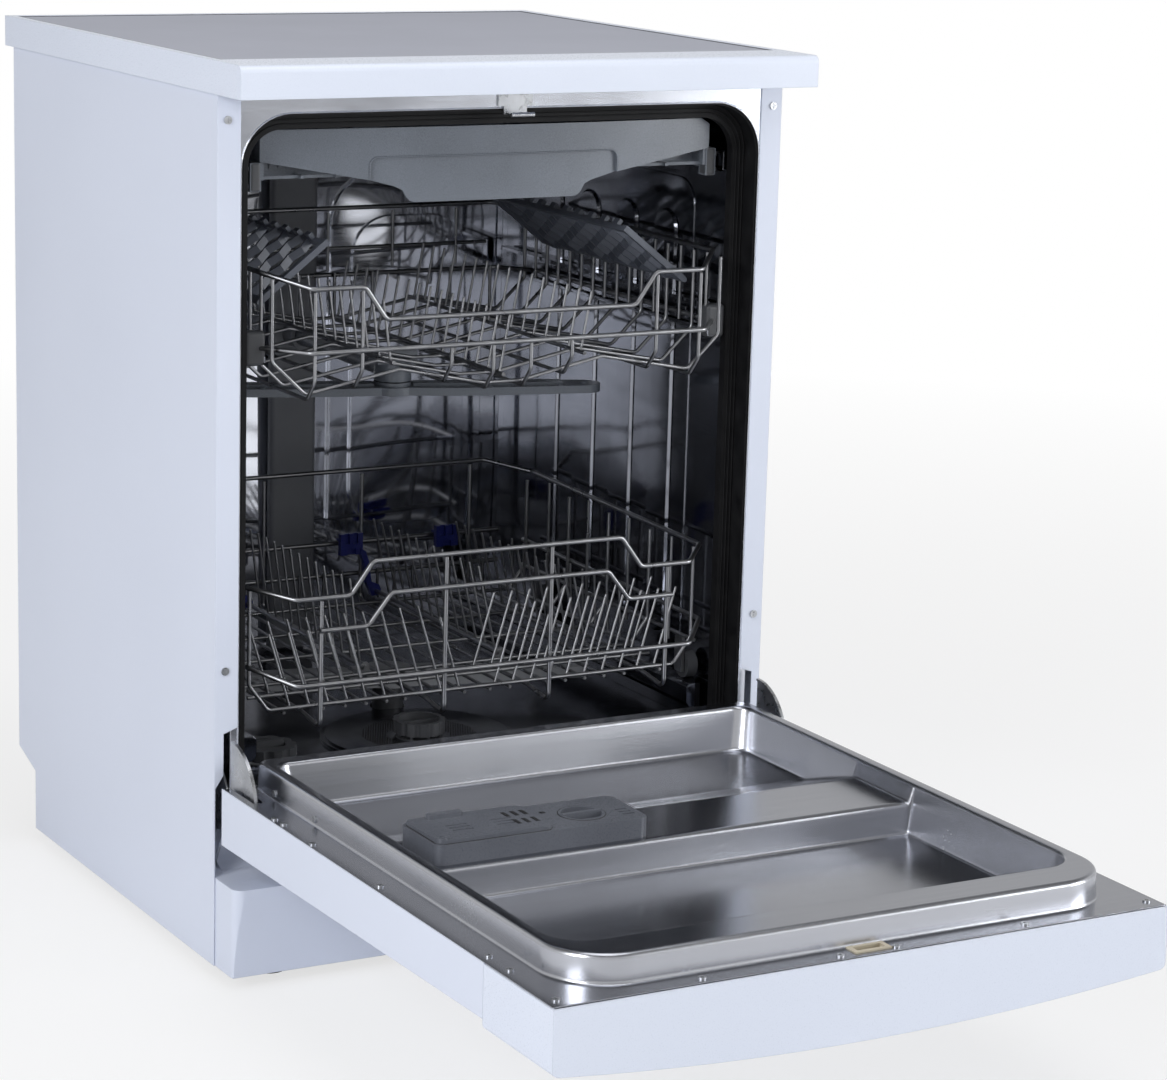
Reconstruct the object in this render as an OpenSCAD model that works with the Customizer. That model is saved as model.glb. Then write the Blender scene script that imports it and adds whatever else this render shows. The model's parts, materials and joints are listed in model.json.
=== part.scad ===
// Free-standing dishwasher, 60 cm wide, drawn with its door lying open.
// X runs to the right, Y to the back and Z up. The origin is on the floor, in the middle of the
// width, in the plane that the door's front has when it is shut.

/* [Cabinet] */
// Width over the two side panels
cab_w = 592; // [588:1:594]
// Height from the floor to the top of the worktop
cab_h = 855; // [852:1:862]
// Width of the worktop
worktop_w = 598; // [596:1:602]
// Depth of the worktop, from the shut door's front to the rear edge
worktop_d = 594; // [590:1:600]
// Thickness of the worktop
worktop_t = 30; // [28:1:31]
// Rear face of the cabinet
cab_back = 578; // [576:1:582]
// Width of the turned-in front flange of a side panel
side_flange = 23; // [20:1:24]
// Height of the side panels above the floor
side_bottom = 12; // [10:1:14]

/* [Tub] */
// Half the width of the tub's front opening
mouth_hw = 273; // [273:0.5:274]
// Height of the tub's front opening
mouth_top = 807; // [804:1:808]
// Corner radius of the tub's front opening
mouth_r = 50; // [40:1:55]
// Half the width inside the tub
tub_hw = 262; // [261:0.5:263]
// Ceiling of the tub
tub_top = 796; // [794:1:797]
// Floor of the tub
tub_floor_z = 171; // [170:0.5:172]
// Inner face of the tub's back wall
tub_back_y = 564; // [562:1:564]

/* [Door] */
// Thickness of the door at its hinge end
door_t = 54; // [52:1:55]
// Width of the door
door_w = 594; // [590:1:595]
// Thickness of the door where it meets the control panel
door_t_top = 47; // [45:1:50]
// Length of the control panel along the door
panel_len = 116; // [112:1:120]
// Rise of the bowed control panel in the middle
bow = 16; // [10:1:18]
// Hinge pivot, distance behind the shut door's front
hinge_y = 42.5; // [42:0.5:43]
// Hinge pivot, height above the floor
hinge_z = 178; // [177.5:0.5:178.5]

/* [Baskets] */
// Radius of the frame wires
frame_r = 2.4; // [2:0.1:2.6]
// Radius of the floor wires
floor_r = 1.6; // [1.4:0.1:1.8]
// Radius of the tines
tine_r = 1.3; // [1:0.1:1.5]
// Front of the lower basket
low_front = 62; // [62:0.5:64]
// Front of the upper basket
top_front = 46; // [45:1:50]
// Half the width of the baskets
basket_hw = 246; // [244:1:247]

/* [Hidden] */

// Levels and faces worked out from the driving dimensions
sheet = 1;
flange_y = 58;
flange_screw_x = 286;
flange_screw_z = [296, 802];
frame_y = flange_y + sheet;
side_x = cab_w / 2;
top_under = cab_h - worktop_t;
door_hw = door_w / 2;
// The open door: its inner face, its skin and its ends
inner_z = hinge_z + door_t - hinge_y + 0.5;
skin_z = inner_z - door_t;
door_heel = hinge_y - 4;
door_end = -(top_under - 6.5 - hinge_z - hinge_y);
seam_y = door_end + panel_len;
// The raised rim round the door's inner panel
rim_hw = 267;
rim_front = door_end + 25;
pan_hw = 253;
pan_front = rim_front + 46;
rear_floor_z = inner_z - 18;
front_floor_z = inner_z - 22;
// The step across the door's inner panel
step_z = inner_z + 8;
step_foot = -110;
step_rise = -186;
step_crest = -276;
// The detergent dispenser
disp_x0 = -232;
disp_x1 = -22;
disp_split = -116;
disp_rear = -198;
disp_front = -271;
disp_top = step_z + 18;
// Ledge in each side of the tub
ledge_x = 236;
ledge_z = 218.5;
// Hub of the two spray arms
hub_y = 300;
low_arm_z = 198;
top_arm_z = 505;
// Filter and salt cap in the tub's floor
filter_x = -24;
filter_y = 180;
salt_x = -196;
salt_y = 166;
well_r = 62;
// Levelling feet
foot_x = 238;
foot_front = 62;
foot_rear = 500;
// Middle of the door latch
latch_x = 3;
latch_y = door_end + 17;

// Rails of the upper basket and of the cutlery tray
rail_z = 590;
tray_rail_z = 745;
// Journal of the lower spray arm
journal_r = 8;
// Bore of the salt filler, and the filter's cage
salt_bore_r = 22;
cage_r = 23;
// Hinge pin, and the slots that the hinge arms need in the door
pin_r = 4;
arm_slot_x0 = 279;
arm_slot_x1 = 289;
// Control panel: level of its side edges, its grip recess, its board and its buttons
panel_side_z = skin_z - 2;
grip_hw = 80;
grip_y = -544;
grip_w = 44;
grip_depth = 28;
board_y = -592;
board_w = 40;
board_z = 152;
button_x = [-240, -190, 240];
button_y = -572;
button_r = 8;
button_travel = 1.3;
// Wheels of the lower basket and their axles
wheel_r = 14;
wheel_z = 232.8;
wheel_y = [124, 430];
wheel_x = 244.4;
wheel_t = 11;
axle_r = 3;
// Folding rows of tines: their places, how far they lean, the height and radius of the bar
fold_x = [-80, 70];
fold_lean = [-12, -20];
fold_z = 247;
fold_r = 2.4;
// Reach of the two spray arms
low_reach = 213;
top_reach = 214;
// Hinge line of the cup shelves
shelf_x = 228;
// Rinse-aid cap, and the pin that the detergent lid swings on
rinse_r = 21;
lid_pin_r = 2.5;

// Points of the arc from angle a0 to a1 round c
function arc(c, r, a0, a1, n = 8) = [for (i = [0:n]) let (a = a0 + (a1 - a0) * i / n) c + r * [cos(a),
    sin(a)]];
// Outline of a rounded rectangle from corner p to corner q
function round_rect(p, q, r, n = 6) = concat(
    arc([q[0] - r, q[1] - r], r, 0, 90, n), arc([p[0] + r, q[1] - r], r, 90, 180, n),
    arc([p[0] + r, p[1] + r], r, 180, 270, n), arc([q[0] - r, p[1] + r], r, 270, 360, n));
// Outline of an arch with round upper corners that stands on z = foot
function arch(hw, top, foot, r, n = 8) = concat(
    [[-hw, foot], [hw, foot]], arc([hw - r, top - r], r, 0, 90, n), arc([-hw + r, top - r], r, 90, 180, n));
function unit(v) = v / norm(v);
function turn_z(v, a) = [v[0] * cos(a) - v[1] * sin(a), v[0] * sin(a) + v[1] * cos(a), v[2]];
function turn_y(v, a) = [v[0] * cos(a) + v[2] * sin(a), v[1], -v[0] * sin(a) + v[2] * cos(a)];
function mirrored(pts) = [for (p = pts) [-p[0], p[1], p[2]]];
function reversed(pts) = [for (i = [len(pts) - 1:-1:0]) pts[i]];
// Inner corner bend of the wires, and the hairline at each weld
wire_bend = 8;
weld = 0.02;

// A profile drawn in Y and Z, run along X
module along_x(x0, x1) translate([x0, 0, 0]) rotate([90, 0, 90]) linear_extrude(x1 - x0) children();
// A profile drawn in X and Z, run along Y
module along_y(y0, y1) translate([0, y1, 0]) rotate([90, 0, 0]) linear_extrude(y1 - y0) children();
// A profile drawn in X and Y, run up Z
module along_z(z0, z1) translate([0, 0, z0]) linear_extrude(z1 - z0) children();
module block(p, q) translate(p) cube(q - p);
// A straight round bar between two points
module rod(a, b, r, sides = 16) {
    d = b - a;
    l = norm(d);
    translate(a) rotate([0, acos(d[2] / l), atan2(d[1], d[0])]) cylinder(r = r, h = l, $fn = sides);
}
// The round elbow of a wire at p, between two directions that leave p
module elbow(p, u, v, rb, r) {
    half = acos(u * v) / 2;
    c = p + unit(u + v) * rb / sin(half);
    n = unit(cross(v, u));
    x = unit(p + u * rb / tan(half) - c);
    a = atan2(n[1], n[0]);
    b = acos(n[2]);
    q = turn_y(turn_z(x, -a), -b);
    translate(c) rotate([0, b, a]) rotate([0, 0, atan2(q[1], q[0])])
        rotate_extrude(angle = 180 - 2 * half, $fn = 32) translate([rb, 0]) circle(r = r, $fn = 16);
}
// A bent wire along points: straight stretches with a round elbow at each inner point
module wire(pts, r, rb = wire_bend) {
    n = len(pts);
    cut = [for (i = [0:n - 1]) i == 0 || i == n - 1 ? 0
        : rb / tan(acos(unit(pts[i - 1] - pts[i]) * unit(pts[i + 1] - pts[i])) / 2) + weld];
    for (i = [0:n - 2]) {
        u = unit(pts[i + 1] - pts[i]);
        rod(pts[i] + u * cut[i], pts[i + 1] - u * cut[i + 1], r);
    }
    for (i = [1:n - 2]) elbow(pts[i], unit(pts[i - 1] - pts[i]), unit(pts[i + 1] - pts[i]), rb, r);
}
// A closed bent wire that is the same on both sides of X = 0, given its right half from front to back
module wire_loop(half, r, rb = wire_bend) {
    pts = concat(half, reversed(mirrored(half)));
    n = len(pts);
    cut = [for (i = [0:n - 1])
        let (a = unit(pts[(i + n - 1) % n] - pts[i]), b = unit(pts[(i + 1) % n] - pts[i]))
        rb / tan(acos(a * b) / 2) + weld];
    for (i = [0:n - 1]) {
        j = (i + 1) % n;
        u = unit(pts[j] - pts[i]);
        rod(pts[i] + u * cut[i], pts[j] - u * cut[j], r);
        elbow(pts[i], unit(pts[(i + n - 1) % n] - pts[i]), unit(pts[j] - pts[i]), rb, r);
    }
}
// A cross-head screw that points along +Z, its head below z = 0
module screw(r = 3.6, h = 1.4, shank = 6) {
    difference() {
        translate([0, 0, -h]) cylinder(r = r, h = h, $fn = 24);
        for (a = [0, 90]) rotate([0, 0, a]) translate([-r * 0.6, -0.4, -h - 1]) cube([r * 1.2, 0.8, 1.7]);
    }
    if (shank > 0) cylinder(r = r * 0.45, h = shank, $fn = 24);
}

module worktop_frame() color("#e9edf4") {
    lip = 64;
    rail = 9;
    nose = 7;
    profile = concat([[lip, top_under], [lip, cab_h]], arc([nose, cab_h - nose], nose, 90, 180, 6),
        [[0, top_under]]);
    // the front moulding, hollow underneath, with its rounded nose
    difference() {
        along_x(-worktop_w / 2, worktop_w / 2) polygon(profile);
        block([-worktop_w / 2 + 3, 4, top_under - 1], [worktop_w / 2 - 3, lip - 3, cab_h - 4]);
    }
    // side and rear rails with a ledge that carries the board
    for (s = [-1, 1]) {
        x = s * worktop_w / 2;
        block([min(x, x - s * rail), lip, top_under], [max(x, x - s * rail), worktop_d, cab_h]);
        block([min(x - s * rail, x - s * 24), lip, top_under],
            [max(x - s * rail, x - s * 24), worktop_d - rail, top_under + 10]);
    }
    block([-worktop_w / 2 + rail, worktop_d - rail, top_under], [worktop_w / 2 - rail, worktop_d, cab_h]);
}
module worktop_board() color("#c9ccd6") {
    gap = 0.6;
    block([-worktop_w / 2 + 9 + gap, 64 + gap, top_under + 10.1],
        [worktop_w / 2 - 9 - gap, worktop_d - 9 - gap, cab_h - 0.8]);
}
// One side panel: the folded sheet with its front, top and rear flanges, on the +X side
module side_panel() {
    low = side_bottom;
    notch = 241;
    // the sheet itself, cut back at its lower rear corner for the hoses
    along_x(side_x - sheet, side_x) polygon([[flange_y, low], [530, low], [530, 74.5], [cab_back, 90],
        [cab_back, top_under], [flange_y, top_under]]);
    // front flange down to the hinge notch, and the narrow rest of it beside the hinge
    difference() {
        along_y(flange_y, flange_y + sheet) polygon([[side_x - side_flange, notch], [side_x - 9, notch - 5],
            [side_x - 9, 196], [side_x - 1, 184], [side_x, 184], [side_x, top_under],
                [side_x - side_flange, top_under]]);
        for (z = flange_screw_z) rod([flange_screw_x, flange_y - 1, z], [flange_screw_x, flange_y + 2, z],
            1.8, 24);
    }
    // rear flange and the top flange that carries the worktop
    block([side_x - 14, cab_back - sheet, 96], [side_x - sheet, cab_back, top_under]);
    block([side_x - 14, flange_y + sheet, top_under - sheet], [side_x - sheet, cab_back - sheet, top_under]);
    block([side_x - 10, 92, low], [side_x - sheet, 520, low + sheet]);
}
module side_panel_left() color("#dde3ef") mirror([1, 0, 0]) side_panel();
module side_panel_right() color("#dde3ef") side_panel();
module rear_panel() color("#b9bec8") {
    y = cab_back - sheet;
    w = side_x - 15;
    difference() {
        block([-w, y, 96], [w, cab_back, top_under - sheet]);
        // stamped stiffening slots
        for (x = [-150, 0, 150]) block([x - 30, y - 1, 300], [x + 30, y + 2, 306]);
    }
    for (z = [200, 420, 640]) along_y(y - 4, y) polygon(round_rect([-w + 40, z], [w - 40, z + 30], 12));
}
module base_tray() color("#5c626b") {
    hw = 274;
    y0 = 96;
    y1 = 528;
    z0 = 14;
    difference() {
        union() {
            block([-hw, y0, z0], [hw, y1, z0 + 3]);
            // brackets that carry the front feet behind the plinth
            for (x = [-foot_x, foot_x]) block([x - 20, foot_front - 16, z0], [x + 20, y0, z0 + 5]);
            for (s = [-1, 1]) block([min(s * hw, s * (hw - 3)), y0, z0 + 3],
                [max(s * hw, s * (hw - 3)), y1, 100]);
            block([-hw + 3, y0, z0 + 3], [hw - 3, y0 + 3, 132]);
            block([-hw + 3, y1 - 3, z0 + 3], [hw - 3, y1, 90]);
            // cross ribs and the four pillars that carry the tub
            for (y = [200, 400]) block([-hw + 3, y, z0 + 3], [hw - 3, y + 3, z0 + 16]);
            for (x = [-hw + 3, hw - 23]) for (y = [y0 + 3, y1 - 23])
                difference() {
                    block([x, y, z0 + 3], [x + 20, y + 20, tub_floor_z - 1.2]);
                    block([x + 3, y + 3, z0 + 4], [x + 17, y + 17, tub_floor_z]);
                }
        }
        // threaded seats of the feet
        for (x = [-foot_x, foot_x]) for (y = [foot_front, foot_rear])
            translate([x, y, z0 - 1]) cylinder(r = 5.05, h = 10, $fn = 24);
        // openings of the water inlet, the drain pipe and the mains lead
        block([100, y1 - 5, 40], [160, y1 + 1, 84]);
        rod([-60, y1 - 6, 64], [-60, y1 + 1, 64], 10.4, 32);
        rod([-160, y1 - 6, 62], [-160, y1 + 1, 62], 9.05, 32);
    }
}
// The kick plinth: a leaning main face with round upper corners, and the hollow shelf above
module plinth() color("#dfe4ee") {
    top = 98;
    face = 12;
    back = 57;
    corner = 11;
    end_x = side_x - 1.4;
    left = [-end_x + corner, face + corner];
    right = [end_x - corner, face + corner];
    difference() {
        along_z(side_bottom, top) polygon(concat([[end_x, back], [end_x, 88], [-end_x, 88], [-end_x, back]],
            arc(left, corner, 180, 270, 5), arc(right, corner, 270, 360, 5)));
        along_z(side_bottom - 1, top - 3) polygon([[end_x - 3, 90], [-end_x + 3, 90], [-end_x + 3, face + 14],
            [-end_x + 13, face + 8.5], [end_x - 13, face + 8.5], [end_x - 3, face + 14]]);
        // the main face leans back towards the floor
        along_x(-side_x - 1, side_x + 1) polygon([[face - 1, side_bottom - 1], [face + 6, side_bottom - 1],
            [face, top - 2], [face - 1, top - 2]]);
    }
    // the coved toe shelf between the plinth and the base, open only round the hinge brackets
    for (x = [[-end_x, -283.2], [-280.2, 280.2], [283.2, end_x]])
        along_x(x[0], x[1]) polygon(concat([[88, top], [88, top - 3], [93, top - 3]],
            [[95.8, top], [95.8, 133], [94, 133]], arc([74, 118], 20, 20, -90, 6)));
}
module levelling_feet() color("#202226")
    for (x = [-foot_x, foot_x]) for (y = [foot_front, foot_rear])
        translate([x, y, 0]) {
            cylinder(r = 16, h = 5, $fn = 32);
            translate([0, 0, 5]) cylinder(r = 11, h = 5, $fn = 32);
            translate([0, 0, 10]) cylinder(r = 5, h = 26, $fn = 24);
        }
module tub_front_frame() color("#cfd3da") {
    wall = 1.2;
    y1 = 92;
    foot = tub_floor_z;
    // the flat flange round the mouth, cut away low down beside the hinges
    difference() {
        along_y(frame_y, frame_y + wall) difference() {
            polygon([[-side_x + 2, 242], [-side_x + 2, top_under - 1.2], [side_x - 2, top_under - 1.2],
                [side_x - 2, 242], [280, 242], [280, foot], [-280, foot], [-280, 242]]);
            polygon(arch(mouth_hw, mouth_top, foot - 1, mouth_r));
        }
        for (x = [-flange_screw_x, flange_screw_x]) for (z = flange_screw_z)
            rod([x, frame_y - 1, z], [x, frame_y + 3, z], 1.8, 24);
    }
    // the channel that the gasket sits in, and the step behind it
    along_y(frame_y, y1) difference() {
        polygon(arch(mouth_hw + wall, mouth_top + wall, foot, mouth_r + wall));
        polygon(arch(mouth_hw, mouth_top, foot - 1, mouth_r));
    }
    along_y(y1 - wall, y1) difference() {
        polygon(arch(mouth_hw + wall, mouth_top + wall, foot, mouth_r + wall));
        polygon(arch(tub_hw, tub_top, foot - 1, 40));
    }
    // the folded brace under the worktop
    block([-side_x + 16, frame_y + wall, top_under - 14], [side_x - 16, frame_y + 26, top_under - 12.8]);
}
// An upright pressed rib with sloping flanks on the inner face of the +X wall
module embossed_rib(y, hw, z0, z1, r) {
    slope = 3.4;
    foot = round_rect([y - hw, z0], [y + hw, z1], r);
    crest = round_rect([y - hw + slope, z0 + slope], [y + hw - slope, z1 - slope], r - slope);
    n = len(foot);
    polyhedron(concat([for (p = foot) [tub_hw, p[0], p[1]]], [for (p = crest) [tub_hw - 4, p[0], p[1]]]),
        concat([for (k = [1:n - 2]) [0, k + 1, k]], [for (k = [1:n - 2]) [n, n + k, n + k + 1]],
            [for (k = [0:n - 1]) let (j = (k + 1) % n) [n + k, k, j]],
            [for (k = [0:n - 1]) let (j = (k + 1) % n) [n + k, j, n + j]]));
}
module tub_wrapper() color("#b9bdc6") {
    wall = 1.2;
    y0 = 92;
    foot = tub_floor_z;
    along_y(y0, tub_back_y) difference() {
        polygon(arch(tub_hw + wall, tub_top + wall, foot, 41.2));
        polygon(arch(tub_hw, tub_top, foot - 1, 40));
    }
    // a wide pressed field in both side walls, and four upright ribs with round tops on it
    for (s = [0, 1]) mirror([s, 0, 0]) {
        along_x(tub_hw - 1.2, tub_hw + 0.3) polygon(round_rect([157, 234], [tub_back_y - 14, 720], 28));
        for (i = [0:3]) embossed_rib(209 + 79 * i, 23, 246, 687, 21);
    }
    // pressed ledge along each side that the wheels of the lower basket run on, closed in front
    for (s = [0, 1]) mirror([s, 0, 0]) {
        out = [[tub_hw + 0.4, 190], [tub_hw - 22, 194], [ledge_x, 199], [ledge_x, ledge_z - 3],
            [ledge_x + 3, ledge_z],
            [tub_hw + 0.4, ledge_z]];
        in = [[tub_hw + 0.6, 191.3], [tub_hw - 21.6, 195.2], [ledge_x + 1.2, 199.6],
            [ledge_x + 1.2, ledge_z - 3.5],
            [ledge_x + 3.5, ledge_z - 1.2], [tub_hw + 0.6, ledge_z - 1.2]];
        difference() {
            along_y(98, tub_back_y) polygon(out);
            along_y(99.2, tub_back_y + 1) polygon(in);
        }
    }
}
module tub_back() color("#c3c7cf") {
    wall = 1.2;
    y = tub_back_y;
    difference() {
        along_y(y, y + wall) polygon(arch(tub_hw + wall, tub_top + wall, tub_floor_z, 41.2));
    }
    // the large pressed shield and the two beads beside it
    along_y(y - 5, y + 0.3) polygon(round_rect([52, 250], [236, 690], 60, 8));
    along_y(y - 9, y - 4.6) polygon(round_rect([76, 300], [212, 640], 44, 8));
    for (x = [-210, -150]) along_y(y - 4, y + 0.3) polygon(round_rect([x - 12, 230], [x + 12, 700], 11, 4));
}
module tub_floor() color("#a9adb6") {
    z1 = tub_floor_z;
    z0 = z1 - 1.2;
    difference() {
        union() {
            block([-mouth_hw - 1.2, frame_y, z0], [mouth_hw + 1.2, tub_back_y + 1.2, z1]);
            // pressed ring round the filter well and the collar of the salt filler
            translate([filter_x, filter_y, z0]) cylinder(r = 98, h = 4.2, $fn = 64);
            translate([salt_x, salt_y, z0]) cylinder(r = 36, h = 5.2, $fn = 48);
        }
        translate([filter_x, filter_y, z0 - 1]) cylinder(r = 94, h = 5 - 1.6, $fn = 64);
        translate([filter_x, filter_y, z0 - 1]) cylinder(r = well_r, h = 8, $fn = 64);
        translate([salt_x, salt_y, z0 - 1]) cylinder(r = 29, h = 9, $fn = 48);
        translate([0, hub_y, z0 - 1]) cylinder(r = 18, h = 8, $fn = 48);
    }
}
module door_gasket() color("#15161a") {
    foot = tub_floor_z + 6;
    // the anchored leg along the mouth
    along_y(frame_y + 1.4, 90.6) difference() {
        polygon(arch(mouth_hw - 0.2, mouth_top - 0.2, foot, mouth_r - 0.2));
        polygon(arch(mouth_hw - 3, mouth_top - 3, foot - 1, mouth_r - 3));
    }
    // the soft bead that the door's rim presses on
    along_y(81, 90.6) difference() {
        polygon(arch(mouth_hw - 2.8, mouth_top - 2.8, foot, mouth_r - 2.8));
        polygon(arch(256, 790, foot - 1, 34));
    }
}
module sill_seal() color("#15161a") along_x(-250, 250)
    polygon([[62, tub_floor_z + 0.1], [81.6, tub_floor_z + 0.1], [81.6, tub_floor_z + 4],
        [78, tub_floor_z + 6],
        [71, tub_floor_z + 4], [62, tub_floor_z + 3]]);
module door_striker() color("#c5c9d0") {
    prong_z = hinge_z + hinge_y - latch_y;
    // plate on the flange and the two bent tongues with the bar that the latch grips
    block([latch_x - 18, frame_y - 1.9, prong_z + 7], [latch_x + 18, frame_y, top_under - 3]);
    block([latch_x - 12, frame_y - 1.9, prong_z - 1], [latch_x + 12, frame_y, prong_z + 7]);
    for (s = [-1, 1])
        block([latch_x + s * 8.5 - 2.5, 42, prong_z - 1], [latch_x + s * 8.5 + 2.5, frame_y - 1,
            prong_z + 1]);
    rod([latch_x - 12, 42.5, prong_z], [latch_x + 12, 42.5, prong_z], 2);
}
module flange_screws() color("#c9ccd2")
    for (s = [-1, 1]) for (z = flange_screw_z)
        translate([s * flange_screw_x, flange_y, z]) rotate([-90, 0, 0]) screw(3.8, 1.4, 3);
module feed_duct() color("#63676f") {
    // the flat riser that feeds the upper arm, with its socket for the basket's pipe
    along_z(tub_floor_z + 4.5, 745) polygon(round_rect([-22, tub_back_y - 20], [30, tub_back_y - 5.1], 5, 4));
    along_y(tub_back_y - 5.1, tub_back_y) polygon(round_rect([-10, 180], [18, 740], 4, 3));
    difference() {
        rod([4, 520, top_arm_z + 16], [4, tub_back_y - 19.7, top_arm_z + 16], 15, 32);
        rod([4, 519, top_arm_z + 16], [4, tub_back_y - 21, top_arm_z + 16], 11.4, 32);
    }
}
// A C-shaped rail on the tub's right wall, open towards the middle
module side_rail(z, x, y0, y1, h) along_y(y0, y1)
    polygon([[tub_hw - 4.1, z - h], [tub_hw - 4.1, z + h], [x, z + h], [x, z + h - 4], [x + 1.5, z + h - 4],
        [x + 1.5, z + h - 1.5], [tub_hw - 5.6, z + h - 1.5], [tub_hw - 5.6, z - h + 1.5],
            [x + 1.5, z - h + 1.5],
        [x + 1.5, z - h + 4], [x, z - h + 4], [x, z - h]]);
module upper_rails() color("#b4b8c0") for (s = [0, 1]) mirror([s, 0, 0])
    side_rail(rail_z, 247.5, 98, 540, 14);
module tray_rails() color("#b4b8c0") for (s = [0, 1]) mirror([s, 0, 0])
    side_rail(tray_rail_z, 247.5, 98, 540, 10);
module sump() color("#4b4f56") {
    r = well_r - 0.4;
    // the bowl that hangs below the tub, and its shallow side channel
    translate([filter_x, filter_y, 0]) rotate_extrude($fn = 64)
        polygon([[0, 70], [28, 70], [40, 82], [r, 110], [r, tub_floor_z - 1.4], [r - 3, tub_floor_z - 1.4],
            [r - 3, 112], [38, 85], [27, 73], [0, 73]]);
    difference() {
        block([-17, filter_y + 52, 120], [17, hub_y + 17, tub_floor_z - 1.4]);
        block([-14, filter_y + 50, 123], [14, hub_y - 16, tub_floor_z - 4.4]);
    }
    // the riser and the journal that the lower spray arm turns on
    translate([0, hub_y, tub_floor_z - 1.5]) cylinder(r = 16, h = low_arm_z - tub_floor_z, $fn = 48);
    translate([0, hub_y, low_arm_z - 1.6]) cylinder(r = journal_r, h = 11.4, $fn = 48);
}
module circulation_pump() color("#3d4148") {
    translate([78, 330, 92]) rotate([0, 90, 0]) cylinder(r = 46, h = 96, $fn = 64);
    translate([174, 330, 92]) rotate([0, 90, 0]) cylinder(r = 20, h = 14, $fn = 48);
    translate([48, 330, 92]) rotate([0, 90, 0]) cylinder(r = 54, h = 30, $fn = 64);
    // cooling ribs round the motor
    for (i = [0:5]) translate([86 + 14 * i, 330, 92]) rotate([0, 90, 0]) cylinder(r = 48.5, h = 4, $fn = 64);
    // pressure outlet to the sump's side channel
    translate([63, 330, 130]) cylinder(r = 14, h = 26, $fn = 32);
    rod([63, 330, 145], [63, 303, 145], 9, 32);
    rod([72, 303, 145], [17.1, 303, 145], 9, 32);
}
module drain_pump() color("#d9dbe0") {
    translate([-120, 330, 84]) rotate([90, 0, 0]) cylinder(r = 30, h = 44, $fn = 48);
    translate([-120, 392, 84]) rotate([90, 0, 0]) cylinder(r = 22, h = 62, $fn = 48);
    // outlet pipe up and back to the hose spigot
    translate([-120, 308, 100]) cylinder(r = 10, h = 40, $fn = 32);
    rod([-60, 400, 64], [-60, 531, 64], 9, 32);
    rod([-60, 530, 64], [-60, 556, 64], 10, 32);
    block([-108, 388, 56], [-52, 402, 72]);
    rod([-117, 306, 124], [-61.5, 232, 124], 8, 32);
}
module heater() color("#8f949c") {
    // the flow heater, a steel sleeve with its two terminals
    rod([60, 216, 96], [190, 216, 96], 26, 48);
    for (x = [80, 165]) rod([x, 216, 96], [x, 216, 96 - 34], 5, 24);
    rod([60.5, 216, 96], [40, 216, 96], 15, 32);
}
module water_softener() color("#e2e4e8") {
    x0 = -258;
    x1 = -104;
    y0 = 122;
    y1 = 252;
    difference() {
        union() {
            along_z(60, 150) polygon(round_rect([x0, y0], [x1, y1], 18));
            translate([salt_x, salt_y, 149]) cylinder(r = 28.6, h = 27.5, $fn = 48);
            // moulded ribs on the resin chamber
            for (y = [y0 + 40, y0 + 80, y0 + 120]) block([x0 - 3, y, 66], [x1 - 4, y + 4, 146]);
        }
        translate([salt_x, salt_y, 72]) cylinder(r = salt_bore_r, h = 120, $fn = 48);
    }
}
module air_break() color("#e6e8ec") {
    x0 = -side_x + 3;
    difference() {
        along_x(x0, x0 + 24) polygon(round_rect([190, 250], [430, 610], 22));
        // moulded water channels on the outer face
        for (i = [0:3]) along_x(x0 - 1, x0 + 5) polygon(round_rect([210 + 54 * i, 280], [248 + 54 * i, 580],
            12, 4));
    }
    block([x0 + 8, 300, 180], [x0 + 22, 330, 252]);
}
module water_inlet() color("#dfe2e6") {
    // threaded inlet for a three-quarter-inch hose, on its valve
    difference() {
        union() {
            rod([130, 531, 62], [130, 556, 62], 13.2, 48);
            rod([130, 500, 62], [130, 534, 62], 18, 48);
        }
        rod([130, 524, 62], [130, 558, 62], 8.5, 32);
    }
    block([114, 470, 70], [146, 502, 108]);
    // gland of the mains lead
    difference() {
        rod([-160, 520, 62], [-160, 540, 62], 9, 32);
        rod([-160, 519, 62], [-160, 541, 62], 4, 32);
    }
}
module hinge_brackets() color("#a9adb4") for (s = [0, 1]) mirror([s, 0, 0]) {
    x0 = 280.6;
    // the plate runs from the base forward to the pivot, low enough to pass under the shut door
    along_x(x0, x0 + 2) polygon(concat([[150, 60], [150, 230], [100, 230], [60, hinge_z + 3.4],
        [hinge_y + 4, hinge_z + 3.4]],
        arc([hinge_y, hinge_z], 5.2, 45, 270), [[62, 150], [90, 99], [100, 60]]));
    block([274, 102, 62], [x0 + 0.1, 148, 98]);
    rod([x0 + 0.1, hinge_y, hinge_z], [289, hinge_y, hinge_z], pin_r, 32);
}
// A tension spring along Y as one swept wire of five sides
module coil_spring(p, r, wire_r, length, turns) {
    steps = turns * 8;
    ring = [for (k = [0:3]) wire_r * [cos(90 * k), sin(90 * k)]];
    pts = [for (i = [0:steps]) let (a = 45 * i) for (q = ring)
        p + [(r + q[0]) * cos(a), length * i / steps + q[1], (r + q[0]) * sin(a)]];
    sides = [for (i = [0:steps - 1]) for (k = [0:3]) let (a = i * 4, n = (k + 1) % 4)
        for (f = [[a + k + 4, a + n + 4, a + n], [a + k + 4, a + n, a + k]]) f];
    polyhedron(pts, concat([[0, 1, 2], [0, 2, 3]], [for (f = [[3, 2, 1], [3, 1, 0]]) f + steps * [4, 4, 4]],
        sides));
}
module balance_springs() color("#8d929b") for (s = [0, 1]) mirror([s, 0, 0]) {
    coil_spring([284.5, 230, 52], 7.5, 1.5, 150, 10);
    rod([284.5, 160, 52], [284.5, 236, 52], 1.4);
    rod([284.5, 374, 52], [284.5, 440, 52], 1.4);
}
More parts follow.
